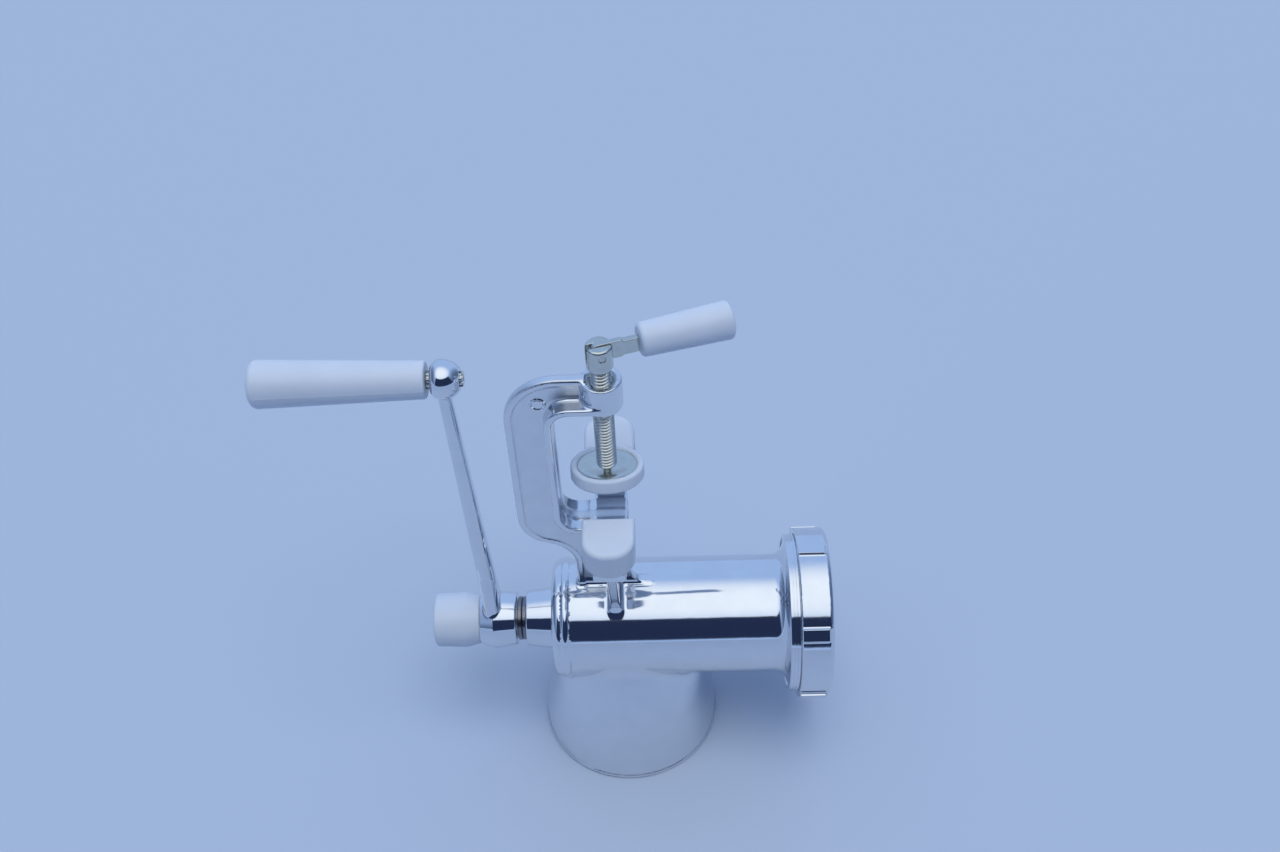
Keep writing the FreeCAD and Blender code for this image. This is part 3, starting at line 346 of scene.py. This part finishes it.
# Places shared by the pieces, in mm and degrees
axisHeight = 75.7
clampX = -3.5
crank = {"tilt": 5.7, "radius": 145.5, "lean": 3.3}
lever = {"turn": 16.5, "pinHeight": 247.0}
pad = {"height": 180.6, "tilt": 16}
alongX = Matrix(((0, 0, 1, 0), (1, 0, 0, 0), (0, 1, 0, 0), (0, 0, 0, 1)))
onBarrel = Matrix.Translation((0, 0, axisHeight))
barrelLathe = onBarrel @ alongX
onCrank = onBarrel @ Matrix.Rotation(-radians(crank["tilt"]), 4, "X")
spindleLathe = onCrank @ Matrix.Translation((0, 0, crank["radius"])) @ alongX
onLever = Matrix.Translation((clampX, 0, 0)) @ Matrix.Rotation(radians(lever["turn"]), 4, "Z")
onPad = Matrix.Translation((clampX, 0, pad["height"])) @ Matrix.Rotation(-radians(pad["tilt"]), 4, "X")

casting = {
    "cell": 0.8, "barrelRadius": 27.5, "boreRadius": 24.0, "barrelBack": -25.0, "flangeRadius": 36.4,
    "wallFace": -33.5, "bossFace": -46.5, "spigotEnd": 88.5, "mouthRadius": 43.0, "bushRadius": 9.0,
    "webHalf": 1.7, "beadHalf": 2.4, "beadDepth": 3.3, "flangeHalf": 8.9, "flangePlate": 3.0,
    "spineInner": 24.5, "spineOuter": 44.0, "jawFloor": 150.0, "jawCeiling": 220.0, "jawCorner": 7.5,
    "frameTop": 233.4, "frameCorner": 23.0, "neckBack": 20.4, "neckFront": 3.5, "neckBend": 118.0,
    "neckCurve": 16.0, "heelCurve": 16.5, "neckFillet": 9.0, "neckFoot": 12.5, "bossRadius": 8.4,
    "armHalf": 7.0, "armRoot": 15.0, "armTop": 155.95, "gussetHalf": 2.25, "threadRadius": 4.45,
    "markX": -29.6, "markZ": 220.6,
    "fillets": {"hopper": 3.5, "bead": 0.5, "flange": 1.8, "boss": 1.8, "gusset": 3.0, "arms": 2.5,
                "frame": 3.0, "feet": 1.0, "bore": 0.5, "bowl": 0.5, "thread": 0.4},
    "edges": {"web": 0.4, "bead": 1.2, "flange": 0.8, "arms": 1.2, "gusset": 1.0, "feet": 0.8},
    # heights between which the barrel is bright, and how satin the casting is beyond them
    "satin": {"hopperBelow": 48, "frameAbove": 108, "beyond": 0.3, "within": 1.0, "webMargin": 0.5,
              "boreMargin": 0.2},
}
# the two feet, which the caps are drawn round
foot = {"half": 8.4, "corner": 7.5, "cornerStart": 30.9, "near": 22.1, "far": 38.4, "middle": 161.2,
        "rise": 7.2}


def clampContour(inset):
    c = casting
    neckX = -c["neckBack"] - c["neckCurve"]
    step = c["heelCurve"] - c["spineOuter"] - neckX
    reach = c["neckCurve"] + c["heelCurve"]
    rise = sqrt(reach ** 2 - step ** 2)
    share = (c["neckCurve"] + inset) / reach
    return [
        (inset - c["neckBack"], axisHeight),
        (inset - c["neckBack"], c["neckBend"]),
        (neckX + step * share, c["neckBend"] + rise * share, c["neckCurve"] + inset),
        (inset - c["spineOuter"], c["neckBend"] + rise, inset - c["heelCurve"]),
        (inset - c["spineOuter"], c["frameTop"] - c["frameCorner"]),
        (c["frameCorner"] - c["spineOuter"], c["frameTop"] - inset, inset - c["frameCorner"]),
        (clampX, c["frameTop"] - inset),
    ]


def jawContour(outset):
    c = casting
    bend = c["jawCorner"] + outset
    return [
        (clampX, c["jawCeiling"] + outset),
        (c["jawCorner"] - c["spineInner"], c["jawCeiling"] + outset),
        (-c["spineInner"] - outset, c["jawCeiling"] - c["jawCorner"], bend),
        (-c["spineInner"] - outset, c["jawFloor"] + c["jawCorner"]),
        (c["jawCorner"] - c["spineInner"], c["jawFloor"] - outset, bend),
        (c["neckFront"], c["jawFloor"] - outset),
    ]


def backwards(contour):
    plain = [corner[:2] for corner in reversed(contour)]
    bends = [corner[2] if len(corner) == 3 else None for corner in reversed(contour)]
    return plain[:1] + [p if b is None else (*p, -b) for p, b in zip(plain[1:], bends[:-1])]


def footPlan(side, grow):
    half, bend = foot["half"] + grow, foot["corner"] + grow
    near, far = (foot["near"] - grow) * side, (foot["far"] + grow) * side
    turnAt = foot["cornerStart"] * side
    return [
        (clampX - half, near), (clampX + half, near), (clampX + half, turnAt),
        (clampX + half - bend, far, bend * side), (clampX - half + bend, far),
        (clampX - half, turnAt, bend * side),
    ]


def makeCasting():
    c = casting
    fillets, edges, satin = c["fillets"], c["edges"], c["satin"]
    barrel = [
        (c["bossFace"], 0), (c["spigotEnd"], 0), (c["spigotEnd"], c["flangeRadius"]),
        (75.4, c["flangeRadius"]), (73.2, 29.2, -7.8), (69.0, c["barrelRadius"], -6.0),
        (c["barrelBack"], c["barrelRadius"]),
        (-28.9, 27.7, 2.6), (c["wallFace"], 24.2, 4.0), (c["wallFace"], 14.8), (-45.7, 13.1),
        (c["bossFace"], 12.3, 0.8),
    ]
    hopper = [
        (0, 0), (42.6, 0), (c["mouthRadius"], 0.4, 0.4), (c["mouthRadius"], 1.7), (42.5, 2.4, 0.7),
        (22.1, axisHeight, 148.0), (0, axisHeight),
    ]
    neckFoot = [
        (c["neckFront"], 112.2), (c["neckFoot"], 103.2, c["neckFillet"]), (c["neckFoot"], axisHeight),
    ]
    web = clampContour(0) + jawContour(0) + neckFoot
    edge = clampContour(0) + backwards(clampContour(c["beadDepth"]))
    flange = jawContour(0) + backwards(jawContour(c["flangePlate"]))
    boss = [
        (0, 218.6), (7.7, 218.6), (c["bossRadius"], 219.3, 0.7), (c["bossRadius"], 231.9),
        (7.7, 232.6, 0.7), (0, 232.6),
    ]
    arms = mirrored([
        (c["armRoot"], 139.0), (foot["far"], 151.0), (foot["far"], c["armTop"]),
        (foot["near"], c["armTop"]), (c["armRoot"], 150.0),
    ])
    gusset = mirrored([(c["armRoot"], axisHeight), (c["armRoot"], 101.7), (30.0, 147.0)])
    bore = [
        (-60, 0), (100, 0), (100, 34.2), (77.5, 34.2), (77.5, c["boreRadius"]),
        (c["barrelBack"], c["boreRadius"]), (c["barrelBack"], c["bushRadius"]), (-60, c["bushRadius"]),
    ]
    bowl = [(0, -3), (39.8, -3), (39.8, 0), (21.5, 57.5, 104.0), (21.5, axisHeight), (0, axisHeight)]
    thread = [
        (0, 215), (c["threadRadius"], 215), (c["threadRadius"], 230.8), (6.4, 232.6), (6.4, 236), (0, 236),
    ]

    def gap(x, y, z):
        r = np.hypot(y, z - axisHeight)
        fromHopper = np.hypot(x, y)
        fromScrew = np.hypot(x - clampX, y)
        shape = blend(outlineGap(x, r, barrel), outlineGap(fromHopper, z, hopper), fillets["hopper"])
        plate = slab(outlineGap(x, z, web), y, c["webHalf"], edges["web"])
        bead = slab(outlineGap(x, z, edge), y, c["beadHalf"], edges["bead"])
        plate = blend(plate, bead, fillets["bead"])
        rim = slab(outlineGap(x, z, flange), y, c["flangeHalf"], edges["flange"])
        plate = blend(plate, rim, fillets["flange"])
        plate = blend(plate, outlineGap(fromScrew, z, boss), fillets["boss"])
        limbs = blend(slab(outlineGap(y, z, arms), x - clampX, c["armHalf"], edges["arms"]),
                      slab(outlineGap(y, z, gusset), x - clampX, c["gussetHalf"], edges["gusset"]),
                      fillets["gusset"])
        plate = blend(plate, limbs, fillets["arms"])
        shape = blend(shape, plate, fillets["frame"])
        for side in (-1, 1):
            plan = outlineGap(x, y, footPlan(side, 0))
            block = slab(plan, z - foot["middle"], foot["rise"], edges["feet"])
            shape = blend(shape, block, fillets["feet"])
        shape = carve(shape, outlineGap(x, r, bore), fillets["bore"])
        shape = carve(shape, outlineGap(fromHopper, z, bowl), fillets["bowl"])
        return carve(shape, outlineGap(fromScrew, z, thread), fillets["thread"])

    low = (c["bossFace"], -c["mouthRadius"], 0)
    high = (c["spigotEnd"], c["mouthRadius"], c["frameTop"])
    piece = skin("castBody", gap, low, high, c["cell"], castAluminium)
    at = np.empty(len(piece.data.vertices) * 3)
    piece.data.vertices.foreach_get("co", at)
    x, y, z = at.reshape(-1, 3).T / mm
    onWeb = (z > satin["frameAbove"]) & (np.abs(y) < c["webHalf"] + satin["webMargin"])
    inBowl = outlineGap(np.hypot(x, y), z, bowl) < satin["boreMargin"]
    inBore = outlineGap(x, np.hypot(y, z - axisHeight), bore) < satin["boreMargin"]
    beyond = (z > satin["frameAbove"]) | (z < satin["hopperBelow"])
    dull = np.where(onWeb | inBowl | inBore, satin["within"], np.where(beyond, satin["beyond"], 0.0))
    piece.data.attributes.new("satin", "FLOAT", "POINT").data.foreach_set("value", dull)
    fit(piece, "casting", "cast_aluminium", "grinder_body")
    # fine steps turned on the outlet flange, and the ring that a mould pin left on the web
    steps = [
        (75.2, 35.0), (75.2, 36.2), (75.6, 36.5, -0.4), (76.6, 36.5), (76.7, 36.2), (77.0, 36.2),
        (77.1, 36.8), (78.0, 36.8), (78.1, 36.4), (78.4, 36.4), (78.5, 37.0), (79.5, 37.0),
        (79.8, 36.7, -0.3), (79.8, 35.0),
    ]
    add(turned("flangeSteps", steps, castAluminium, barrelLathe, 180), "casting")
    ring = [(0, 3.5), (0, 0), (0.25, 0), (0.25, 2.1), (0.1, 2.3), (0.5, 2.7), (0.5, 3.0)]
    mark = Matrix.Translation((c["markX"], -c["webHalf"], c["markZ"]))
    facing = mark @ Matrix.Rotation(radians(90), 4, "X")
    add(turned("mouldMark", ring, castAluminium, facing, 48), "casting")


makeCasting()
print("casting done")


def makeRingNut():
    s = {"cell": 0.7, "back": 79.9, "front": 94.5, "radius": 39.5, "threadRadius": 36.5, "lipBack": 91.0,
         "lipRadius": 31.5, "turn": 22.3, "ribs": 6, "ribHalf": 3.0, "ribRoot": 38.0, "ribTop": 40.8,
         "ribMiddle": 86.2, "ribReach": 6.3, "ribEdge": 0.7, "ribFillet": 0.9}
    ring = [
        (s["back"], s["threadRadius"]), (s["lipBack"], s["threadRadius"]), (s["lipBack"], 31.9),
        (91.4, s["lipRadius"]), (94.1, s["lipRadius"]), (s["front"], 31.9), (s["front"], 37.7),
        (93.9, 38.9, 1.4), (92.9, s["radius"]), (80.3, s["radius"]), (s["back"], 39.1),
    ]
    root, reach, half = s["ribRoot"], s["ribTop"], s["ribHalf"]
    rib = [(root, -half), (reach, -half), (reach, half), (root, half)]
    sector = 2 * pi / s["ribs"]

    def gap(x, y, z):
        r = np.hypot(y, z)
        angle = (np.arctan2(z, y) + sector / 2) % sector - sector / 2
        lug = slab(outlineGap(r * np.cos(angle), r * np.sin(angle), rib), x - s["ribMiddle"],
                   s["ribReach"], s["ribEdge"])
        return blend(outlineGap(x, r, ring), lug, s["ribFillet"])

    place = onBarrel @ Matrix.Rotation(radians(s["turn"]), 4, "X")
    low, high = (s["back"], -reach, -reach), (s["front"], reach, reach)
    nut = skin("ringNut", gap, low, high, s["cell"], castAluminium, place)
    fit(nut, "nut", "cast_aluminium", "ring_nut")


def makeCrankArm():
    s = {"cell": 0.55, "hubBack": -68.5, "hubFront": -51.2, "belly": -61.5, "eye": -69.89,
         "eyeBack": -73.89, "eyeFront": -61.89, "rodBase": 3,
         "rodHeights": (3.0, 30.0, 145.5), "rodThick": (3.4, 4.2, 2.8), "rodSpan": (10.5, 4.2, 2.8),
         "squareHalf": 5.05, "eyeBore": 3.05, "hubFillet": 0.9, "eyeFillet": 1.6, "boreEdge": 0.3}
    hub = [
        (s["hubBack"], 0), (s["hubFront"], 0), (s["hubFront"], 11.7), (-51.8, 12.4, 0.7),
        (s["belly"], 14.0), (-68.0, 11.75), (s["hubBack"], 11.2, 0.6),
    ]
    ball = [
        (s["eyeBack"], 0), (s["eyeFront"], 0), (s["eyeFront"], 4.8), (s["eye"], 8.5, 9.5),
        (s["eyeBack"], 6.0, 5.0),
    ]
    lean = tan(radians(crank["lean"]))

    def gap(x, y, z):
        across = x - s["belly"] + z * lean
        thick = np.interp(z, s["rodHeights"], s["rodThick"])
        span = np.interp(z, s["rodHeights"], s["rodSpan"])
        rod = np.hypot(across, np.maximum(np.abs(y) - span + thick, 0)) - thick
        rod = np.maximum(rod, np.maximum(z - crank["radius"], s["rodBase"] - z))
        fromEye = np.hypot(y, z - crank["radius"])
        shape = blend(rod, outlineGap(x, np.hypot(y, z), hub), s["hubFillet"])
        shape = blend(shape, outlineGap(x, fromEye, ball), s["eyeFillet"])
        shape = carve(shape, np.maximum(np.abs(y), np.abs(z)) - s["squareHalf"], s["boreEdge"])
        return carve(shape, fromEye - s["eyeBore"], s["boreEdge"])

    low, high = (-75, -14, -14), (s["hubFront"], 14, 155)
    arm = skin("crankArm", gap, low, high, s["cell"], castAluminium, onCrank)
    fit(arm, "drive", "cast_aluminium", "crank_arm")


def makeSpindle():
    # swaged splines show at both sides of the ball eye
    s = {"end": -137.7, "headBack": -133.7, "collar": (-75.69, -73.89), "rivet": (-61.89, -60.49),
         "radius": 3.0, "headRadius": 4.2, "rivetRadius": 3.5, "splines": 10, "splineDepth": 0.7,
         "splineWidth": (0.5, 1.1), "around": 160}
    (collarBack, collarFront), (rivetBack, rivetFront) = s["collar"], s["rivet"]
    profile = [
        (s["end"], 0), (s["end"], s["radius"]), (s["headBack"], s["headRadius"]),
        (s["headBack"], s["radius"]), (collarBack, s["radius"]), (collarBack, 3.9),
        (collarBack + 0.3, s["headRadius"]), (collarFront - 0.1, s["headRadius"]),
        (collarFront, s["radius"]), (rivetBack, s["radius"]),
        (rivetBack + 0.05, s["rivetRadius"]), (rivetFront - 0.5, s["rivetRadius"]), (rivetFront, 2.9),
        (rivetFront, 1.4), (rivetFront - 0.5, 1.0), (rivetFront - 0.5, 0),
    ]

    def splined(along, radius, angle):
        onSpline = (along > collarBack - 0.01) & (radius > s["radius"] + 0.05)
        base, height = s["splineWidth"]
        wave = np.clip(base - height * np.cos(angle * s["splines"]), 0, 1)
        return np.where(onSpline, radius - s["splineDepth"] * wave, radius)

    spindle = turned("gripSpindle", profile, zincSteel, spindleLathe, s["around"], splined)
    fit(spindle, "drive", "plated_steel", "grip_spindle")


def makeCrankGrip():
    s = {"start": -75.79, "end": -148.29, "boreEnd": -137.8, "boreRadius": 3.05, "slim": 8.0, "wide": 10.2,
         "endRound": 3.2, "dimple": 0.4, "seamHeight": 0.12, "seamWidth": 0.02, "seamFrom": 5.5,
         "around": 180}
    profile = [
        (s["start"], s["boreRadius"]), (s["start"], 6.8), (s["start"] - 1.2, s["slim"], 1.2),
        (s["end"] + s["endRound"], s["wide"]), (s["end"], s["wide"] - s["endRound"], s["endRound"]),
        (s["end"] + s["dimple"], 4.4), (s["end"] + s["dimple"], 0), (s["boreEnd"], 0),
        (s["boreEnd"], s["boreRadius"]),
    ]

    def partingLine(along, radius, angle):
        ridge = np.exp(-((np.abs(np.sin(angle)) / s["seamWidth"]) ** 2))
        return radius + np.where(radius > s["seamFrom"], s["seamHeight"] * ridge, 0)

    grip = turned("crankGrip", profile, polyethylene, spindleLathe, s["around"], partingLine)
    fit(grip, "grip", "white_plastic", "crank_grip")


def makeThumbScrew():
    s = {"seat": -68.5, "end": -90.0, "wide": 13.0, "endRound": 2.0, "dimple": 0.3, "socket": -83,
         "socketRadius": 3.05, "studRadius": 2.95, "studHead": (-82.5, -78.5), "studEnd": -41.5}
    profile = [
        (s["seat"], s["socketRadius"]), (s["seat"], 11.0), (s["seat"] - 0.5, 11.4, 0.5), (-74.6, 12.9),
        (-75.4, s["wide"], 3.0), (s["end"] + s["endRound"], 12.5), (s["end"], 10.5, s["endRound"]),
        (s["end"] + s["dimple"], 5.0), (s["end"] + s["dimple"], 0), (s["socket"], 0),
        (s["socket"], s["socketRadius"]),
    ]
    knob = turned("thumbKnob", profile, polyethylene, barrelLathe, 120)
    fit(knob, "thumb_screw", "white_plastic", "thumb_knob")
    headBack, headFront = s["studHead"]
    stud = [
        (headBack, 0), (headBack, 5.0), (headFront, 5.0), (headFront, s["studRadius"]),
        (-42.2, s["studRadius"]), (s["studEnd"], 2.3), (s["studEnd"], 0),
    ]
    fit(turned("thumbStud", stud, zincSteel, barrelLathe, 48), "thumb_screw", "plated_steel", "thumb_stud")


def makeShaftBush():
    s = {"front": -25, "flange": -46.5, "back": -50.6, "bore": 7.5, "radius": 8.95, "flangeRadius": 10.25,
         "groove": -48.5, "grooveRadius": 9.7, "around": 96}
    profile = [
        (s["front"], s["bore"]), (s["front"], s["radius"]), (s["flange"], s["radius"]), (s["flange"], 9.9),
        (-46.8, s["flangeRadius"]), (-48.1, s["flangeRadius"]), (s["groove"], s["grooveRadius"]),
        (-48.9, s["flangeRadius"]), (-50.3, s["flangeRadius"]), (s["back"], 9.9), (s["back"], s["bore"]),
    ]
    bush = turned("shaftBush", profile, bushBronze, barrelLathe, s["around"])
    fit(bush, "casting", "bush_bronze", "shaft_bush")


makeRingNut()
makeCrankArm()
makeSpindle()
makeCrankGrip()
makeThumbScrew()
makeShaftBush()
print("crank and nut done")


def makeClampThread():
    # the pitch is the photograph's, which is coarser than the travel of the clamp's joint for one turn
    s = {"radius": 4.4, "depth": 0.95, "pitch": 1.75, "low": 183.0, "high": 239.6, "perPitch": 12,
         "around": 56, "flank": 1.3, "crest": 0.2, "taper": 1.0, "sharpFrom": 60}
    around = s["around"]
    rows = int((s["high"] - s["low"]) / s["pitch"] * s["perPitch"])
    heights = np.linspace(s["low"], s["high"], rows)
    angles = np.arange(around) * 2 * pi / around
    z, angle = np.repeat(heights, around), np.tile(angles, rows)
    phase = (z / s["pitch"] - angle / (2 * pi)) % 1
    groove = np.clip(np.abs(2 * phase - 1) * s["flank"] - s["crest"], 0, 1)
    runOut = np.clip((z - s["low"]) / s["taper"], 0, 1)
    radius = np.minimum(s["radius"] - s["depth"] * groove, s["radius"] - s["taper"] + runOut)
    points = np.stack([radius * np.cos(angle), radius * np.sin(angle), z], 1)
    i, j = np.meshgrid(np.arange(rows - 1), np.arange(around), indexing="ij")
    after = (j + 1) % around
    ring, ahead = i * around, (i + 1) * around
    faces = np.stack([ring + j, ring + after, ahead + after, ahead + j], -1).reshape(-1, 4)
    thread = buildPiece("clampThread", points, faces, zincSteel, onLever, sharpFrom=s["sharpFrom"])
    fit(thread, "screw", "plated_steel", "clamp_screw")


def makeClampHead():
    s = {"cell": 0.28, "base": 239.5, "top": 250.7, "radius": 5.5, "slotHalf": 1.35, "slotFloor": 242.5,
         "slotEdge": 0.35, "pinBore": 1.45, "pinEdge": 0.25, "pinRadius": 1.4, "pinHalf": 5.35}
    pivot = [
        (178.3, 0), (178.3, 2.2), (178.7, 2.6), (179.3, 2.6), (179.3, 1.6), (183.0, 1.6), (183.0, 3.42),
        (183.2, 3.42), (183.2, 0),
    ]
    add(turned("clampPivot", pivot, zincSteel, onLever, 64), "screw")
    head = [
        (0, s["base"]), (4.9, s["base"]), (s["radius"], 240.1, 0.6), (s["radius"], 249.5),
        (4.5, s["top"], 1.3), (0, s["top"]),
    ]

    def gap(x, y, z):
        shape = outlineGap(np.hypot(x, y), z, head)
        slot = np.maximum(np.abs(y) - s["slotHalf"], s["slotFloor"] - z)
        hole = np.hypot(x, z - lever["pinHeight"]) - s["pinBore"]
        return carve(carve(shape, slot, s["slotEdge"]), hole, s["pinEdge"])

    low = (-s["radius"], -s["radius"], s["base"])
    high = (s["radius"], s["radius"], s["top"])
    add(skin("clampHead", gap, low, high, s["cell"], zincSteel, onLever), "screw")
    half, radius = s["pinHalf"], s["pinRadius"]
    pin = [(-half, 0), (-5.3, 0.7), (-5.0, radius), (5.0, radius), (5.3, 0.7), (half, 0)]
    upright = Matrix.Translation((0, 0, lever["pinHeight"]))
    across = onLever @ upright @ Matrix.Rotation(radians(90), 4, "X")
    fit(turned("leverPin", pin, zincSteel, across, 40), "screw", "plated_steel", "lever_pin")


def makeClampLever():
    s = {"cell": 0.3, "half": 1.25, "edge": 0.3, "eyeRadius": 4.3, "pinBore": 1.42, "pinEdge": 0.2,
         "end": 46.0, "low": 242.7, "high": 251.3}
    bar = [
        (0, s["low"], s["eyeRadius"]), (9.0, s["low"]), (9.6, 243.4), (s["end"], 243.4),
        (s["end"], 250.6), (9.6, 250.6), (9.0, s["high"]), (0, s["high"]),
        (-s["eyeRadius"], lever["pinHeight"], s["eyeRadius"]),
    ]

    def gap(x, y, z):
        shape = slab(outlineGap(x, z, bar), y, s["half"], s["edge"])
        return carve(shape, np.hypot(x, z - lever["pinHeight"]) - s["pinBore"], s["pinEdge"])

    low, high = (-s["eyeRadius"], -s["half"], s["low"]), (s["end"], s["half"], s["high"])
    bare = skin("clampLever", gap, low, high, s["cell"], zincSteel, onLever)
    fit(bare, "lever", "plated_steel", "clamp_lever")


def makeLeverGrip():
    s = {"start": 16.2, "end": 54.2, "slim": 7.0, "wide": 7.9, "round": 2.0, "dimple": 0.3,
         "height": 248.2, "around": 140}
    handle = [
        (s["start"], 0), (s["start"], 5.0), (s["start"] + s["round"], s["slim"], -s["round"]),
        (s["end"] - s["round"], s["wide"]), (s["end"], s["wide"] - s["round"], -s["round"]),
        (s["end"] - s["dimple"], 3.5), (s["end"] - s["dimple"], 0),
    ]
    place = onLever @ Matrix.Translation((0, 0, s["height"])) @ alongX
    grip = turned("leverGrip", handle, polyethylene, place, s["around"])
    fit(grip, "lever", "white_plastic", "lever_grip")


def makePad():
    s = {"dishRadius": 12.7, "capRadius": 15.6, "capRound": 1.3, "around": 140}
    dish = [
        (-0.5, 2.3), (-0.5, 5.6), (0.8, 10.6), (0.6, s["dishRadius"]), (1.3, s["dishRadius"]),
        (2.0, 10.8, -2.93), (1.7, 9.8), (0.7, 5.9), (0.5, 5.2), (0.5, 2.3),
    ]
    fit(turned("padDish", dish, zincSteel, onPad, s["around"]), "pad", "plated_steel", "pad_dish")
    cup = [
        (-4.3, 0), (-4.3, 14.3), (-3.0, s["capRadius"], -s["capRound"]), (0.9, s["capRadius"]),
        (2.2, 14.3, -s["capRound"]), (2.1, 13.6), (1.4, 12.75), (0.2, 12.75), (0.2, 11.1), (-0.6, 5.5),
        (-3.1, 5.5), (-3.1, 0),
    ]
    fit(turned("padCap", cup, polyethylene, onPad, s["around"]), "pad", "white_plastic", "pad_cap")


def makeFootCap(name, node, side):
    s = {"cell": 0.5, "wall": 2.65, "clearance": 0.05, "middle": 163.55, "rise": 7.5, "edge": 2.2,
         "socketTop": 168.45, "socketEdge": 0.3, "xEnds": (-15, 8), "yEnds": (19.45, 41.05),
         "zEnds": (156.05, 171.05)}

    def gap(x, y, z):
        shape = slab(outlineGap(x, y, footPlan(side, s["wall"])), z - s["middle"], s["rise"], s["edge"])
        socket = np.maximum(outlineGap(x, y, footPlan(side, s["clearance"])), z - s["socketTop"])
        return carve(shape, socket, s["socketEdge"])

    low, high = zip(s["xEnds"], sorted(end * side for end in s["yEnds"]), s["zEnds"])
    fit(skin(name, gap, low, high, s["cell"], polyethylene), "casting", "white_plastic", node)


makeClampThread()
makeClampHead()
makeClampLever()
makeLeverGrip()
makePad()
makeFootCap("footCapFront", "foot_cap_front", -1)
makeFootCap("footCapRear", "foot_cap_rear", 1)
print("clamp done")

# What stays as drawn gets its finish
finishes = {
    "feed_screw": tumbledAluminium, "thrust_washer": nylon, "knife_stud": zincSteel,
    "plate_key_pin": zincSteel, "cross_knife": toolSteel, "hole_plate": toolSteel,
}
for node, material in finishes.items():
    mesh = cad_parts[node].data
    mesh.materials.clear()
    mesh.materials.append(material)


def makeFloor():
    # half is in metres: wide enough for the floor to reach the horizon from any side
    s = {"colour": "#A9B8CE", "half": 40.0, "drop": 0.2, "rough": 0.55}
    half = s["half"]
    corners = [(-half, -half, 0), (half, -half, 0), (half, half, 0), (-half, half, 0)]
    mesh = bpy.data.meshes.new("floor")
    mesh.from_pydata(corners, [], [(0, 1, 2, 3)])
    floor = bpy.data.objects.new("floor", mesh)
    floor.location.z = -s["drop"] * mm
    bpy.context.scene.collection.objects.link(floor)
    material, _, shader = newMaterial("paintedTable")
    shader.inputs["Base Color"].default_value = hexColour(s["colour"])
    shader.inputs["Roughness"].default_value = s["rough"]
    mesh.materials.append(material)


def makeRoom():
    # pale and bright overhead, pale along the horizon, dim at both sides, and dark in front for the
    # metal's dark band; angles in degrees, the other limits are parts of the direction's length
    s = {"air": "#9FBBE7", "airStrength": 1.12,
         "bright": "#EDF5FF", "brightLevel": 1.05, "brightLean": 12.0, "brightEdges": (50, 5),
         "dark": "#222E4B", "darkHeading": 8, "darkSides": (60, 46), "darkTop": (0.72, 0.70),
         "walls": "#56698C", "wallEdges": (0.55, 0.92), "horizonEdges": (0.03, 0.08)}
    world = bpy.data.worlds.new("studio")
    world.use_nodes = True
    bpy.context.scene.world = world
    tree = world.node_tree
    way = addNode(tree, "ShaderNodeTexCoord").outputs["Generated"]
    axes = addNode(tree, "ShaderNodeSeparateXYZ", {"Vector": way}).outputs
    lean = radians(s["brightLean"])
    facing = addNode(tree, "ShaderNodeVectorMath", {0: way, 1: (0, -sin(lean), cos(lean))},
                     operation="DOT_PRODUCT").outputs["Value"]
    glow = softStep(tree, facing, *(cos(radians(edge)) for edge in s["brightEdges"]))
    bright = [level * s["brightLevel"] for level in hexColour(s["bright"])]
    sky = mixed(tree, glow, hexColour(s["air"]), bright)
    curtain = softStep(tree, maths(tree, "ABSOLUTE", axes["X"]), *s["wallEdges"])
    walls = mixed(tree, curtain, sky, hexColour(s["walls"]))
    heading = maths(tree, "ARCTAN2", axes["X"], maths(tree, "MULTIPLY", axes["Y"], -1.0))
    aside = maths(tree, "ABSOLUTE", maths(tree, "SUBTRACT", heading, radians(s["darkHeading"])))
    sides = softStep(tree, aside, *(radians(edge) for edge in s["darkSides"]))
    front = maths(tree, "MULTIPLY", sides, softStep(tree, axes["Z"], *s["darkTop"]))
    room = mixed(tree, front, walls, hexColour(s["dark"]))
    shown = mixed(tree, softStep(tree, axes["Z"], *s["horizonEdges"]), sky, room)
    background = tree.nodes["Background"]
    tree.links.new(shown, background.inputs["Color"])
    background.inputs["Strength"].default_value = s["airStrength"]


def makeLamp():
    # one broad soft lamp overhead for the shadow on the table, angles in degrees
    s = {"level": 1.2, "spread": 36.0, "tilt": (11.3, 5.2, 0.0)}
    lamp = bpy.data.lights.new("softLamp", "SUN")
    lamp.energy = s["level"]
    lamp.angle = radians(s["spread"])
    overhead = bpy.data.objects.new("softLamp", lamp)
    overhead.rotation_euler = [radians(turn) for turn in s["tilt"]]
    # the sky's soft glow is what the metal mirrors, so the lamp's hard edge stays out of it
    overhead.visible_glossy = False
    bpy.context.scene.collection.objects.link(overhead)


def makeCamera():
    s = {"place": (23.0, -401.49, 621.57), "right": (0.99943, -0.00503, -0.03341),
         "up": (0.02679, 0.72026, 0.69318), "forward": (-0.02058, 0.69368, -0.71998),
         "lens": 39.83, "sensor": 36.0, "nearest": 10.0}
    data = bpy.data.cameras.new("camera")
    data.lens = s["lens"]
    data.sensor_width = s["sensor"]
    data.sensor_fit = "HORIZONTAL"
    data.clip_start = s["nearest"] * mm
    camera = bpy.data.objects.new("camera", data)
    rows = [(r, u, -f, p * mm) for r, u, f, p in zip(s["right"], s["up"], s["forward"], s["place"])]
    camera.matrix_world = Matrix((*rows, (0, 0, 0, 1)))
    bpy.context.scene.collection.objects.link(camera)
    bpy.context.scene.camera = camera


makeFloor()
makeRoom()
makeLamp()
makeCamera()
bpy.context.scene.view_settings.view_transform = "Standard"
print("studio done")
